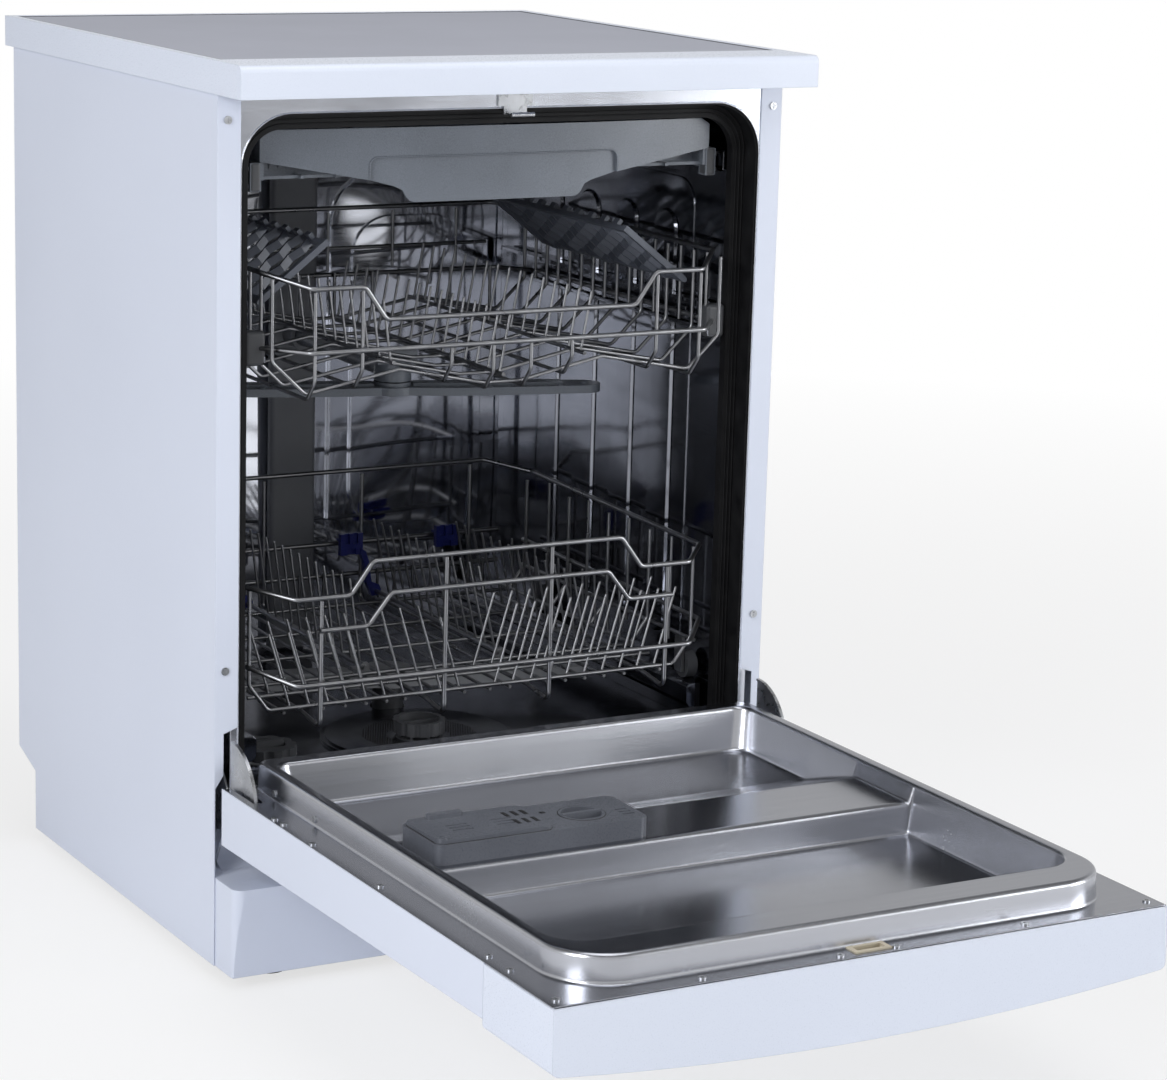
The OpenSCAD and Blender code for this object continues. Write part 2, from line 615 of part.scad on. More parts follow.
module filter_plate() color("#9ea2aa") {
    translate([filter_x, filter_y, tub_floor_z + 0.1]) rotate_extrude($fn = 64)
        polygon([[cage_r + 0.05, -2], [cage_r + 0.05, 1.6], [60, 4.2], [93, 4.6], [93, 3], [61.6, 3], [58, 0],
            [cage_r + 4, -2]]);
}
module filter_cylinder() color("#4a4e55") translate([filter_x, filter_y, 0]) {
    z0 = 98;
    z1 = tub_floor_z - 4;
    // the fine cage below, the open ribbed neck and the lobed grip on top
    rotate_extrude($fn = 64) polygon([[cage_r - 2.4, z0], [cage_r, z0], [cage_r, z1], [cage_r - 2.4, z1]]);
    translate([0, 0, z0]) cylinder(r = cage_r - 0.4, h = 2, $fn = 48);
    for (i = [0:7]) rotate([0, 0, 45 * i]) block([cage_r - 3, -1.4, z1 - 1], [cage_r - 0.4, 1.4, z1 + 12]);
    rotate_extrude($fn = 64) polygon([[cage_r - 4, z1 + 5], [cage_r - 0.2, z1 + 5], [cage_r - 0.2, z1 + 7],
        [cage_r - 4, z1 + 7]]);
    difference() {
        translate([0, 0, z1 + 11]) cylinder(r = cage_r + 3.2, h = 13, $fn = 64);
        translate([0, 0, z1 + 10]) cylinder(r = cage_r - 2, h = 15, $fn = 48);
        for (i = [0:11]) rotate([0, 0, 30 * i]) translate([cage_r + 6, 0, z1 + 10])
            cylinder(r = 4.4, h = 15, $fn = 24);
    }
    block([-cage_r + 0.6, -2, z1 + 13], [cage_r - 0.6, 2, z1 + 22]);
}
module salt_cap() color("#3c3f45") translate([salt_x, salt_y, 0]) {
    z0 = tub_floor_z + 6;
    difference() {
        translate([0, 0, z0]) cylinder(r = 30, h = 11, $fn = 64);
        for (i = [0:9]) rotate([0, 0, 36 * i]) translate([34.6, 0, z0 - 1]) cylinder(r = 7, h = 13, $fn = 24);
        translate([0, 0, z0 + 8]) cylinder(r = 19, h = 4, $fn = 48);
    }
    translate([0, 0, z0 - 14]) cylinder(r = salt_bore_r - 0.05, h = 15, $fn = 48);
    block([-18, -3, z0 + 7], [18, 3, z0 + 15]);
}

module door_outer_panel() color("#e4e9f2") {
    // the folded skin: front face, heel and both sides
    difference() {
        union() {
            along_x(-door_hw, door_hw) polygon([[seam_y, skin_z + door_t - door_t_top], [door_heel, skin_z],
                [door_heel, inner_z - 1], [door_heel - sheet, inner_z - 1],
                    [door_heel - sheet, skin_z + sheet],
                [seam_y, skin_z + door_t - door_t_top + sheet]]);
            for (s = [0, 1]) mirror([s, 0, 0]) along_x(door_hw - sheet, door_hw)
                polygon([[seam_y, skin_z + door_t - door_t_top], [door_heel, skin_z], [door_heel, inner_z],
                    [seam_y, inner_z]]);
        }
        // slots in the heel for the hinge arms
        for (s = [0, 1]) mirror([s, 0, 0]) block([arm_slot_x0, door_heel - 12, 158],
            [arm_slot_x1, door_heel + 1, inner_z + 1]);
    }
}
// Height of the pressed floor of the door's inner panel
function pan_z(y) = lookup(y, [[pan_front, front_floor_z], [step_crest - 5, front_floor_z],
    [step_crest - 3, step_z - 3],
    [step_crest, step_z - 0.6], [step_crest + 4, step_z], [step_rise - 8, step_z],
        [step_rise, step_z - 1.3], [step_foot, rear_floor_z + 1.3],
    [step_foot + 8, rear_floor_z], [door_heel, rear_floor_z]]);
// Sections of the rim from its outer foot over the crest down to the pan: inset at the sides, at
// the front and at the heel, front and heel corner radius, height over the flange, share of the pan
rim_rows = [
    [0, 0, 0, 56, 14, -0.6, 0], [0.3, 0.6, 0.3, 56, 14, 15, 0], [1.6, 3, 1.5, 55, 14, 20.5, 0],
    [4.2, 9, 4.6, 52, 14, 23.8, 0], [7.6, 24, 11, 45, 14, 24.8, 0], [10.6, 38, 17, 38, 14, 24, 0],
    [12.8, 44, 20.6, 34, 14, 21.4, 0], [14, 47, 22.4, 32, 14, 21.4, 0.2], [15.6, 49, 24, 31, 15, 21.4, 0.55],
    [17.4, 51, 26, 30, 16, 21.4, 0.85], [20, 54, 29, 30, 17, 21.4, 0.97], [24, 58, 33, 30, 18, 21.4, 1]];
// How far the back of the pressed sheet lies inside and below each of those sections
rim_backs = [[1.1, 0], [1.1, 0.2], [1.1, 0.5], [0.7, 1], [0, 1.2], [-0.5, 1.1], [-1.1, 0.4], [-1.2, 0.1],
    [-1.2, 0.2],
    [-1.1, 0.5], [-0.6, 1.1], [0, 1.2]];
function rim_ring(row, back) =
    let (hw = rim_hw - row[0] - back[0], f = rim_front + row[1] + back[0],
        h = door_heel - 1.5 - row[2] - back[0],
        rf = row[3], rh = row[4],
        sides = [-60, step_foot + 8, step_foot, step_rise, step_rise - 8, step_crest + 4, step_crest,
            step_crest - 3,
            step_crest - 5, -330],
        right = concat(arc([hw - rh, h - rh], rh, 90, 0, 5), [for (y = sides) [hw, y]],
            arc([hw - rf, f + rf], rf, 0, -90, 6)))
    [for (p = concat(right, [for (i = [len(right) - 1:-1:0]) [-right[i][0], right[i][1]]]))
        [p[0], p[1], (1 - row[6]) * (inner_z + row[5]) + row[6] * pan_z(p[1]) - back[1]]];
module door_liner() color("#c3c5cb") {
    flange = concat([[-arm_slot_x0, 36], [arm_slot_x0, 36], [arm_slot_x0, -17], [arm_slot_x1, -17],
        [arm_slot_x1, 36],
        [door_hw - 1.1, 36], [door_hw - 1.1, door_end + 3.4], [-door_hw + 1.1, door_end + 3.4],
            [-door_hw + 1.1, 36],
        [-arm_slot_x1, 36], [-arm_slot_x1, -17], [-arm_slot_x0, -17]]);
    rows = len(rim_rows);
    n = len(rim_ring(rim_rows[0], rim_backs[0]));
    pts = concat([for (i = [0:rows - 1]) for (p = rim_ring(rim_rows[i], [0, 0])) p],
        [for (i = [0:rows - 1]) for (p = rim_ring(rim_rows[i], rim_backs[i])) p]);
    low = rows * n;
    // pressed rim and pan as one smooth sheet: its upper skin, its back and the joining edge
    skin = [for (i = [0:rows - 2]) for (k = [0:n - 1]) let (a = i * n + k, b = i * n + (k + 1) % n) [a, b,
        b + n, a + n]];
    pan = [for (k = [0:n / 2 - 2]) let (a = (rows - 1) * n + k, b = (rows - 1) * n + n - 1 - k) [a, a + 1,
        b - 1, b]];
    edge = [for (k = [0:n - 1]) let (b = (k + 1) % n) [k + low, b + low, b, k]];
    difference() {
        union() {
            along_z(inner_z - 1, inner_z) difference() {
                polygon(flange);
                polygon([for (p = rim_ring([0.6, 0.6, 0.6, 55.4, 13.4, 0, 0], [0, 0])) [p[0], p[1]]]);
            }
            polyhedron(pts, concat(skin, pan, [for (f = concat(skin, pan)) reversed([for (i = f) i + low])],
                edge), convexity = 6);
        }
        block([disp_x0 + 4, disp_front + 4, step_z - 3], [disp_x1 - 4, disp_rear - 4, step_z + 2]);
        block([latch_x - 16.4, latch_y - 7.4, inner_z - 3], [latch_x + 16.4, latch_y + 7.4, inner_z + 1]);
    }
}
// The bowed lower outline of the control panel, from left to right, grown inwards by t
function panel_arc(t) = let (big = (door_hw * door_hw + bow * bow) / (2 * bow), z = panel_side_z - bow)
    [for (i = [0:16]) let (x = (door_hw - 5 - t) * (i / 8 - 1)) [x, z + t + big - sqrt(big * big - x * x)]];
module control_panel() color("#e6eaf2") {
    wall = 2.5;
    x1 = door_hw;
    out = concat(panel_arc(0), arc([x1 - 5, panel_side_z + 5], 5, -80, 0, 4),
        [[x1, inner_z - 1.1], [-x1, inner_z - 1.1]],
        arc([-x1 + 5, panel_side_z + 5], 5, 180, 260, 4));
    in = concat(panel_arc(wall), [[x1 - wall, panel_side_z + 6], [x1 - wall, inner_z],
        [-x1 + wall, inner_z], [-x1 + wall, panel_side_z + 6]]);
    difference() {
        union() {
            difference() {
                along_y(door_end, seam_y - 0.3) polygon(out);
                along_y(door_end + wall, seam_y - 0.3 - wall) polygon(in);
            }
            // walls of the recessed grip, and bosses that carry the board
            block([-grip_hw - 2, grip_y - 2, panel_side_z - bow + 1.4],
                [grip_hw + 2, grip_y + grip_w + 2, panel_side_z - bow + grip_depth + 2]);
            for (x = [-244, 244]) for (y = [board_y + 5, board_y + board_w - 5]) translate([x, y,
                panel_side_z - bow / 2])
                cylinder(r = 3.4, h = board_z - panel_side_z + bow / 2, $fn = 24);
        }
        block([-grip_hw, grip_y, panel_side_z - bow - 3], [grip_hw, grip_y + grip_w,
            panel_side_z - bow + grip_depth]);
        for (x = button_x) translate([x, button_y, panel_side_z - bow - 5]) cylinder(r = button_r + 0.3,
            h = 30, $fn = 32);
        // room for the pan of the inner panel above the seam wall
        block([-pan_hw - 9, -540, front_floor_z - 3], [pan_hw + 9, seam_y + 1, inner_z]);
        // the shallow recess of the indicator lamps
        block([-60, button_y - 7, panel_side_z - bow - 3], [60, button_y + 7, panel_side_z - bow + 1.1]);
    }
}
module control_board() color("#2f6b46") {
    block([-252, board_y, board_z], [252, board_y + board_w, board_z + 1.6]);
    for (x = button_x) block([x - 3.5, button_y - 3.5, board_z - 4], [x + 3.5, button_y + 3.5, board_z]);
    for (x = [-150, -60, 40, 130]) block([x, board_y + 8, board_z + 1.6],
        [x + 26, board_y + 26, board_z + 9]);
    block([180, board_y + 4, board_z + 1.6], [214, board_y + 34, board_z + 18]);
}
// A round push button whose cap follows the panel's face, on its stem
module push_button(x) {
    big = (door_hw * door_hw + bow * bow) / (2 * bow);
    face = panel_side_z - bow + big - sqrt(big * big - x * x) - 1.4;
    translate([x, button_y, face]) cylinder(r = button_r, h = 7, $fn = 48);
    translate([x, button_y, face + 6]) cylinder(r = 3, h = board_z - 4 - button_travel - 0.3 - face - 6,
        $fn = 24);
}
module power_button() color("#cfd4dc") push_button(button_x[0]);
module program_button() color("#cfd4dc") push_button(button_x[1]);
module start_button() color("#cfd4dc") push_button(button_x[2]);
module latch_housing() color("#c9bfae") {
    difference() {
        union() {
            block([latch_x - 16.2, latch_y - 7.2, inner_z - 22], [latch_x + 16.2, latch_y + 7.2, inner_z]);
            block([latch_x - 17.6, latch_y - 8, inner_z], [latch_x + 17.6, latch_y + 8, inner_z + 1.2]);
        }
        block([latch_x - 13.4, latch_y - 4, inner_z - 18], [latch_x + 13.4, latch_y + 4, inner_z + 2]);
    }
}
module door_screws() color("#b9bcc2") {
    at = [[-286, -581], [-157.5, -586], [-29, -588], [25, -588], [155, -586], [286, -581], [-286, -506],
        [-286, -470],
        [-288, -276], [-291, -147], [-290, -84], [-291, -67],
        [286, -506], [286, -470], [288, -276], [291, -147], [290, -84], [291, -67]];
    for (p = at) translate([p[0], p[1], inner_z]) rotate([180, 0, 0]) screw(3.4, 1.4, 0);
    // pairs in the outer side walls of the rim
    for (s = [-1, 1]) for (y = [-12.5, -99])
        translate([s * (rim_hw + 0.02), y, inner_z + 6]) rotate([0, -90 * s, 0]) screw(3.2, 1.2, 0);
}
module hinge_arms() color("#9ea2a8") for (s = [0, 1]) mirror([s, 0, 0]) {
    x0 = 284.4;
    difference() {
        union() {
            // quarter disc with its folded edge
            along_x(x0, x0 + 2) polygon(concat([[hinge_y, hinge_z]],
                arc([hinge_y, hinge_z], 55, 90, 180, 12)));
            along_x(x0 - 1.2, x0 + 2) polygon(concat(arc([hinge_y, hinge_z], 55, 90, 180, 12),
                [for (p = arc([hinge_y, hinge_z], 52.8, 180, 90, 12)) p]));
            along_x(x0, x0 + 2) polygon([[hinge_y, hinge_z - 9], [hinge_y, hinge_z + 9], [0, inner_z - 1.4],
                [-150, inner_z - 1.4], [-150, 160], [0, 160]]);
            translate([x0, hinge_y, hinge_z]) rotate([0, 90, 0]) cylinder(r = 9, h = 2, $fn = 48);
            block([x0, -140, inner_z - 10], [door_hw - sheet, -100, inner_z - 1.4]);
        }
        translate([x0 - 3, hinge_y, hinge_z]) rotate([0, 90, 0]) cylinder(r = pin_r + 0.05, h = 8, $fn = 48);
    }
}
module dispenser_body() color("#bfc3ca") {
    cup = [[disp_x0 + 12, disp_front + 12], [disp_split - 6, disp_rear - 12]];
    rinse = [disp_split + 44, (disp_front + disp_rear) / 2 - 2];
    difference() {
        union() {
            along_z(step_z + 0.05, disp_top) polygon(round_rect([disp_x0, disp_front], [disp_x1, disp_rear],
                9));
            block([disp_x0 + 4.3, disp_front + 4.3, step_z - 32],
                [disp_x1 - 4.3, disp_rear - 4.3, step_z + 1]);
        }
        // detergent cup
        along_z(step_z - 22, disp_top + 1) polygon(round_rect(cup[0], cup[1], 8));
        // threaded seat of the rinse-aid cap
        translate([rinse[0], rinse[1], disp_top - 9]) cylinder(r = rinse_r + 0.05, h = 12, $fn = 48);
        translate([rinse[0], rinse[1], step_z - 26]) cylinder(r = 12, h = 50, $fn = 48);
        // the dosing slots beside the lid
        for (i = [0:2]) block([disp_x1 - 18, disp_front + 16 + 7 * i, disp_top - 1.2],
            [disp_x1 - 6, disp_front + 19 + 7 * i, disp_top + 1]);
    }
    // the pin that the lid swings on
    translate([disp_x0 + 9, disp_front + 9, disp_top - 3]) cylinder(r = lid_pin_r, h = 7.2, $fn = 32);
}
module detergent_lid() color("#c9cdd3") {
    z0 = disp_top + 0.3;
    difference() {
        union() {
            along_z(z0, z0 + 3.2) polygon(round_rect([disp_x0 + 3, disp_front + 3],
                [disp_split - 0.5, disp_rear - 3], 6.5));
            translate([disp_x0 + 9, disp_front + 9, z0]) cylinder(r = 5.8, h = 4.6, $fn = 32);
            // raised finger tab at the rear edge
            along_z(z0 + 3, z0 + 7) polygon(round_rect([-210, disp_rear - 12], [-176, disp_rear - 4], 3, 4));
        }
        translate([disp_x0 + 9, disp_front + 9, z0 - 1]) cylinder(r = lid_pin_r + 0.06, h = 8, $fn = 32);
        // two groups of three dosing marks
        for (g = [-204, -160]) for (i = [0:2]) block([g, -247 + 7 * i, z0 + 2.4],
            [g + 20, -244 + 7 * i, z0 + 5]);
    }
}
module rinse_aid_cap() color("#c9cdd3") {
    c = [disp_split + 44, (disp_front + disp_rear) / 2 - 2, disp_top - 8.6];
    difference() {
        translate(c) cylinder(r = rinse_r, h = 9, $fn = 48);
        translate(c + [0, 0, 4]) cylinder(r = rinse_r - 2.5, h = 8, $fn = 48);
    }
    translate(c) block([-rinse_r + 1.4, -2.2, 3], [rinse_r - 1.4, 2.2, 10.4]);
}

// Cross wires of the lower basket's floor, from front to back
low_cross_y = [104, 190, 275, 360, 455];
low_wire_z = 240;
low_x = basket_hw - 4.5;
module lower_basket_frame() color("#a7abb2") {
    f = low_front;
    r = frame_r;
    // top rim with its lifted handle in front, and the second bar under it
    wire_loop([[134, f, 386], [157, f, 355], [212, f, 355], [basket_hw, f + 38, 362], [basket_hw, 450, 369],
        [206, 490, 378]], r);
    wire([[-190, f - 4.9, 325], [-141, f - 4.9, 325], [-117, f - 4.9, 355], [117, f - 4.9, 355],
        [141, f - 4.9, 325],
        [190, f - 4.9, 325]], r);
    // middle bar, carried round the corners on to the sides
    wire([[-basket_hw, 470, 290], [-basket_hw, f + 34, 286], [-212, f - 4.9, 273], [212, f - 4.9, 273],
        [basket_hw, f + 34, 286], [basket_hw, 470, 290]], r);
    // front posts that turn back under the floor and rise again behind
    for (x = [-187, -57, 57, 187])
        wire([[x, f, abs(x) < 134 ? 383.5 : 352.5], [x, f, 230], [x, 106, 235.6], [x, 485.6, 235.6],
            [x, 485.6, 374.6]], 2.2);
    // cross wires: across the floor and up both sides
    for (y = low_cross_y)
        wire([[-low_x, y, 359], [-low_x, y, 266], [-222, y, low_wire_z], [222, y, low_wire_z],
            [low_x, y, 266], [low_x, y, 359]], 2);
    // floor wires, turned up behind to the lower rear bar
    for (x = [-206, -165, -142, -120, -98, -78, -36, -14, 14, 36, 78, 98, 120, 142, 165, 206])
        wire([[x, 102, 236.2], [x, 487.6, 236.2], [x, 487.6, 269]], floor_r);
    // rear bars, then the side verticals
    for (z = [264.5, 299]) rod([-226, 491.8, z], [226, 491.8, z], r);
    for (s = [-1, 1]) {
        rod([s * basket_hw, 104, 262], [s * basket_hw, 470, 262], 2);
        for (i = [0:3])
            rod([s * (low_x + 0.3), 147 + 86 * i, 254], [s * (low_x + 0.3), 147 + 86 * i, 360 + 1.8 * i],
                floor_r);
    }
    // axle pins of the four wheels
    for (s = [-1, 1]) for (y = wheel_y) {
        rod([s * 243, y, wheel_z], [s * (wheel_x + wheel_t), y, wheel_z], axle_r, 32);
        block([min(s * 239.8, s * 243.2), y - 7, wheel_z - 7], [max(s * 239.8, s * 243.2), y + 7, 262]);
    }
}
module lower_tines_fixed() color("#a7abb2") {
    // two short rows across the front, leaning outwards on each half
    for (i = [0:9]) {
        for (y = [104, 152]) {
            x = 20 + 20 * i;
            rod([-x, y, low_wire_z + 2.5], [-x - 20, y + 3, 312], tine_r);
            rod([x, y, low_wire_z + 2.5], [x + 24, y + 3, 318], tine_r);
        }
    }
    rod([-222, 152, 239.9], [222, 152, 239.9], 2);
    // tall row on the right that leans to the left, on its own carrier
    rod([170, 182, low_wire_z + 4.2], [170, 470, low_wire_z + 4.2], 2);
    for (i = [0:13]) rod([170, 192 + 20 * i, low_wire_z + 6.6], [154, 192 + 20 * i, 320], tine_r);
    // low row at each side, on its own carrier too
    for (s = [-1, 1]) {
        rod([s * 216, 182, low_wire_z + 4.2], [s * 216, 462, low_wire_z + 4.2], 2);
        for (i = [0:9])
            rod([s * 216, 200 + 26 * i, low_wire_z + 6.3], [s * 213, 200 + 26 * i, 300], tine_r);
    }
    // eyes on a cross wire that carry the front ends of the folding rows
    for (x = fold_x) along_y(188.6, 191.4) difference() {
        polygon([[x - 5, low_wire_z + 2.05], [x + 5, low_wire_z + 2.05], [x + 5, fold_z + 2],
            [x + 2.6, fold_z + 5],
            [x - 2.6, fold_z + 5], [x - 5, fold_z + 2]]);
        translate([x, fold_z]) circle(r = fold_r + 0.05, $fn = 32);
    }
}
// A row of tall tines on a bar that turns in two clips
module folding_row(x, lean) {
    rod([x, 186, fold_z], [x, 479, fold_z], fold_r, 32);
    for (i = [0:12])
        rod([x, 201 + 20 * i, fold_z + fold_r + 0.4], [x + lean, 201 + 20 * i, 334], tine_r);
}
module folding_tines_left() color("#a7abb2") folding_row(fold_x[0], fold_lean[0]);
module folding_tines_right() color("#a7abb2") folding_row(fold_x[1], fold_lean[1]);
module tine_clips() color("#27408f") {
    // one clip for each tall row, hooked over the upper rear bar of the basket
    for (x = concat(fold_x, [184])) difference() {
        union() {
            block([x - 42, 474.5, 289], [x - 16, 481, 312]);
            block([x - 38, 480.9, 301.6], [x - 20, 494.8, 304.4]);
            block([x - 38, 480.9, 292], [x - 20, 489.2, 301.7]);
        }
        block([x - 37, 474, 301], [x - 31.5, 478, 313]);
        block([x - 27, 474, 301], [x - 21.5, 478, 313]);
        block([x - 34, 474, 286], [x - 24, 478, 295]);
    }
    // legs with the bearings of the two folding rows
    for (x = fold_x) difference() {
        along_y(473, 480) polygon([[x - 19, 296], [x - 13, 292], [x - 9, 280], [x - 6, 258],
            [x + 3, fold_z + 7],
            [x + 5.5, fold_z + 2], [x + 5.5, low_wire_z + 2.4], [x - 5.5, low_wire_z + 2.4], [x - 12, 258],
            [x - 15, 280], [x - 19, 290]]);
        rod([x, 470, fold_z], [x, 482, fold_z], fold_r + 0.05, 32);
    }
}
// A pair of spoked wheels
module wheel_pair(y) for (s = [0, 1]) mirror([s, 0, 0])
    translate([wheel_x, y, wheel_z]) rotate([0, 90, 0]) difference() {
    union() {
        difference() {
            cylinder(r = wheel_r, h = wheel_t, $fn = 64);
            translate([0, 0, 2]) cylinder(r = wheel_r - 3, h = 12, $fn = 48);
        }
        cylinder(r = axle_r + 2.4, h = wheel_t, $fn = 32);
        for (a = [0:60:300]) rotate([0, 0, a]) translate([axle_r + 1.6, -1, 1])
            cube([wheel_r - axle_r - 4, 2, 8]);
    }
    translate([0, 0, -1]) cylinder(r = axle_r + 0.06, h = 13, $fn = 32);
}
module wheels_front() color("#3f434a") wheel_pair(wheel_y[0]);
module wheels_rear() color("#3f434a") wheel_pair(wheel_y[1]);
// A two-armed spray arm with a swelling hub, from tip to tip along X
module spray_arm(reach, hub, t) difference() {
    half = concat(arc([reach - 17, 0], 17, -80, 80, 8), [[120, 22], [60, 24]], arc([0, 0], hub, 55, 125, 6));
    union() {
        linear_extrude(t) polygon(concat(half, [for (p = concat([[60, -24], [120, -22]],
            arc([reach - 17, 0], 17, 280, 440, 8),
            [[120, 22], [60, 24]])) -p] , arc([0, 0], hub, 235, 305, 6), [[60, -24], [120, -22]]));
        cylinder(r = hub - 5, h = t + 4, $fn = 48);
        // raised spine along each blade
        for (a = [0, 180]) rotate([0, 0, a]) translate([20, -9, t - 0.5]) cube([reach - 60, 18, 3]);
    }
    // the row of nozzles
    for (a = [0, 180]) rotate([0, 0, a]) for (i = [0:3])
        translate([62 + 36 * i, i % 2 == 0 ? 13 : -14, -1]) rotate([0, 0, 30])
            cylinder(r = 2.2, h = t + 8, $fn = 24);
    translate([reach - 16, 0, -1]) cylinder(r = 2, h = t + 8, $fn = 24);
}
module lower_spray_arm() color("#b9bdc4")
    translate([0, hub_y, low_arm_z - 1]) rotate([0, 0, -14]) difference() {
    spray_arm(low_reach, 30, 11);
    translate([0, 0, -2]) cylinder(r = journal_r + 0.06, h = 14.5, $fn = 48);
}

// Height of the upper basket's waved floor at x
function wave_z(x) = lookup(abs(x), [[0, 548], [20, 548], [108, 566], [204, 548], [238, 580]]);
top_x = basket_hw - 4;
module upper_basket_frame() color("#a7abb2") {
    f = top_front;
    // top rim with the dipped handle, and the second rim on the runners
    wire_loop([[132, f, 617], [154, f, 648], [206, f, 648], [top_x, f + 42, 660], [top_x, 446, 660],
        [204, 486, 660]], frame_r);
    wire_loop([[208, f - 4.5, rail_z], [top_x, f + 40, rail_z], [top_x, 446, rail_z], [210, 486, rail_z]],
        frame_r);
    // waved floor wires that turn up at both sides
    for (i = [0:8]) {
        y = 66 + 50 * i;
        wire([[-top_x + 4.3, y, 656], [-top_x + 4.3, y, 580], [-204, y, 548], [-108, y, 566], [-20, y, 548],
            [20, y, 548],
            [108, y, 566], [204, y, 548], [top_x - 4.3, y, 580], [top_x - 4.3, y, 656]], 1.8);
    }
    // lengthwise wires that rise at the front and, to the rail rim, at the rear
    for (x = [-204, -156, -64, -20, 20, 64, 156, 204])
        wire([[x, f, abs(x) > 154 ? 645 : rail_z - 2.6], [x, f, wave_z(x) + 14], [x, f + 16, wave_z(x) - 4.2],
            [x, 481.4, wave_z(x) - 4.2], [x, 481.4, 592.5]], frame_r - 0.6);
    for (s = [-1, 1]) for (i = [0:7])
        rod([s * (top_x - 4.3), 91 + 50 * i, rail_z - 6], [s * (top_x - 4.3), 91 + 50 * i, 657], floor_r);
    for (x = [-138, -64, 12, 87, 162]) rod([x, 481.8, 596], [x, 481.8, 656.2], floor_r);
    rod([-200, 485.6, 618], [200, 485.6, 618], 2);
}
module upper_basket_tines() color("#a7abb2") {
    for (x = [-108, 8, 96]) {
        z = wave_z(x) + 3.9;
        rod([x, 78, z], [x, 462, z], 2);
        for (i = [0:15]) rod([x, 86 + 24 * i, z + 2.1], [x + (x < 0 ? -8 : 10), 86 + 24 * i, z + 58], tine_r);
    }
}
module upper_runners() color("#c9ccd2") for (s = [0, 1]) mirror([s, 0, 0]) {
    // the beam that runs in the rail, its clips on the rim, and the stop cap in front
    along_y(98, 470) polygon([[251, rail_z - 9.5], [255.4, rail_z - 9.5], [255.4, rail_z + 9.5],
        [251, rail_z + 9.5]]);
    block([top_x + 2.5, 88, rail_z - 7], [251.2, 98, rail_z + 7]);
    for (y = [150, 300, 450]) block([top_x + 2.5, y - 10, rail_z - 6], [251.1, y + 10, rail_z + 6]);
    along_y(84, 97) polygon(round_rect([236, rail_z - 15], [251.8, rail_z - 6.4], 3, 4));
}
module upper_feed_pipe() color("#85898f") {
    z = top_arm_z + 16;
    difference() {
        union() {
            rod([0, hub_y + 6, z], [4, 530, z], 10.6, 32);
            translate([0, hub_y, top_arm_z + 6]) cylinder(r = 19, h = 23, $fn = 48);
            // saddle that hangs the pipe under the basket's floor
            block([-22, hub_y - 12, z + 8], [22, hub_y + 12, wave_z(0) - 6.1]);
        }
        translate([0, hub_y, top_arm_z + 5]) cylinder(r = 13, h = 13, $fn = 48);
        rod([0, hub_y + 24, z], [4, 531, z], 8.4, 32);
    }
    translate([0, hub_y, top_arm_z - 8]) cylinder(r = 6, h = 27, $fn = 48);
    translate([0, hub_y, top_arm_z - 10.4]) cylinder(r = 9, h = 2.6, $fn = 48);
}
module upper_spray_arm() color("#8f939a")
    translate([0, hub_y, top_arm_z - 7.4]) rotate([0, 0, -17]) difference() {
    spray_arm(top_reach, 24, 8);
    translate([0, 0, -2]) cylinder(r = 6.06, h = 18, $fn = 48);
}
// A folding cup shelf on the right side, gridded, with a lip
module cup_shelf() {
    a = [shelf_x, 627];
    b = [160, 680];
    d = unit(b - a);
    n = [-d[1], d[0]];
    long = norm(b - a);
    function at(u, v) = a + d * u + n * v;
    y0 = 116;
    y1 = 404;
    // hinge bar, two long rails and the end bars
    rod([shelf_x, y0, 627], [shelf_x, y1, 627], 2.5, 32);
    for (u = [0, long - 5]) along_y(y0, y1) polygon([at(u, -2.5), at(u + 5, -2.5), at(u + 5, 2.5),
        at(u, 2.5)]);
    for (y = [y0, y1 - 6]) along_y(y, y + 6) polygon([at(1, -3), at(long + 1.5, -3), at(long + 1.5, 3),
        at(1, 3)]);
    // tall ribs that zigzag up the slope, each set against the next, with a raised tip at the upper edge
    step = (long - 8) / 6;
    for (i = [1:10]) {
        y = y0 + 26 * i;
        line = [for (k = [0:6]) [4 + step * k, y + 2.9 * ((i + k) % 2 * 2 - 1)]];
        translate([a[0], 0, a[1]]) rotate([0, -atan2(d[1], d[0]), 0]) translate([0, 0, -5]) linear_extrude(8)
            polygon(concat(line, reversed([for (p = line) p + [0, 2.6]])));
        along_y(y - 3.4, y + 6) polygon([at(long - 4.6, -9), at(long - 0.4, -9), at(long - 0.4, 2),
            at(long - 4.6, 2)]);
    }
    // hinge eyes towards the side wires
    for (y = [150, 260, 370]) along_y(y, y + 14) polygon([at(0, -4), at(6, -4), at(6, 4), at(0, 4),
        [shelf_x + 5, 624], [shelf_x + 5, 629]]);
}
module cup_shelf_left() color("#4a4e55") mirror([1, 0, 0]) cup_shelf();
module cup_shelf_right() color("#4a4e55") cup_shelf();
// Plan line of the tray's bowed front, pushed back by t
function tray_front(t, hw, n = 14) = [for (i = [0:n]) let (x = hw * (2 * i / n - 1)) [x,
    84 + t + 12 * x * x / (240 * 240)]];
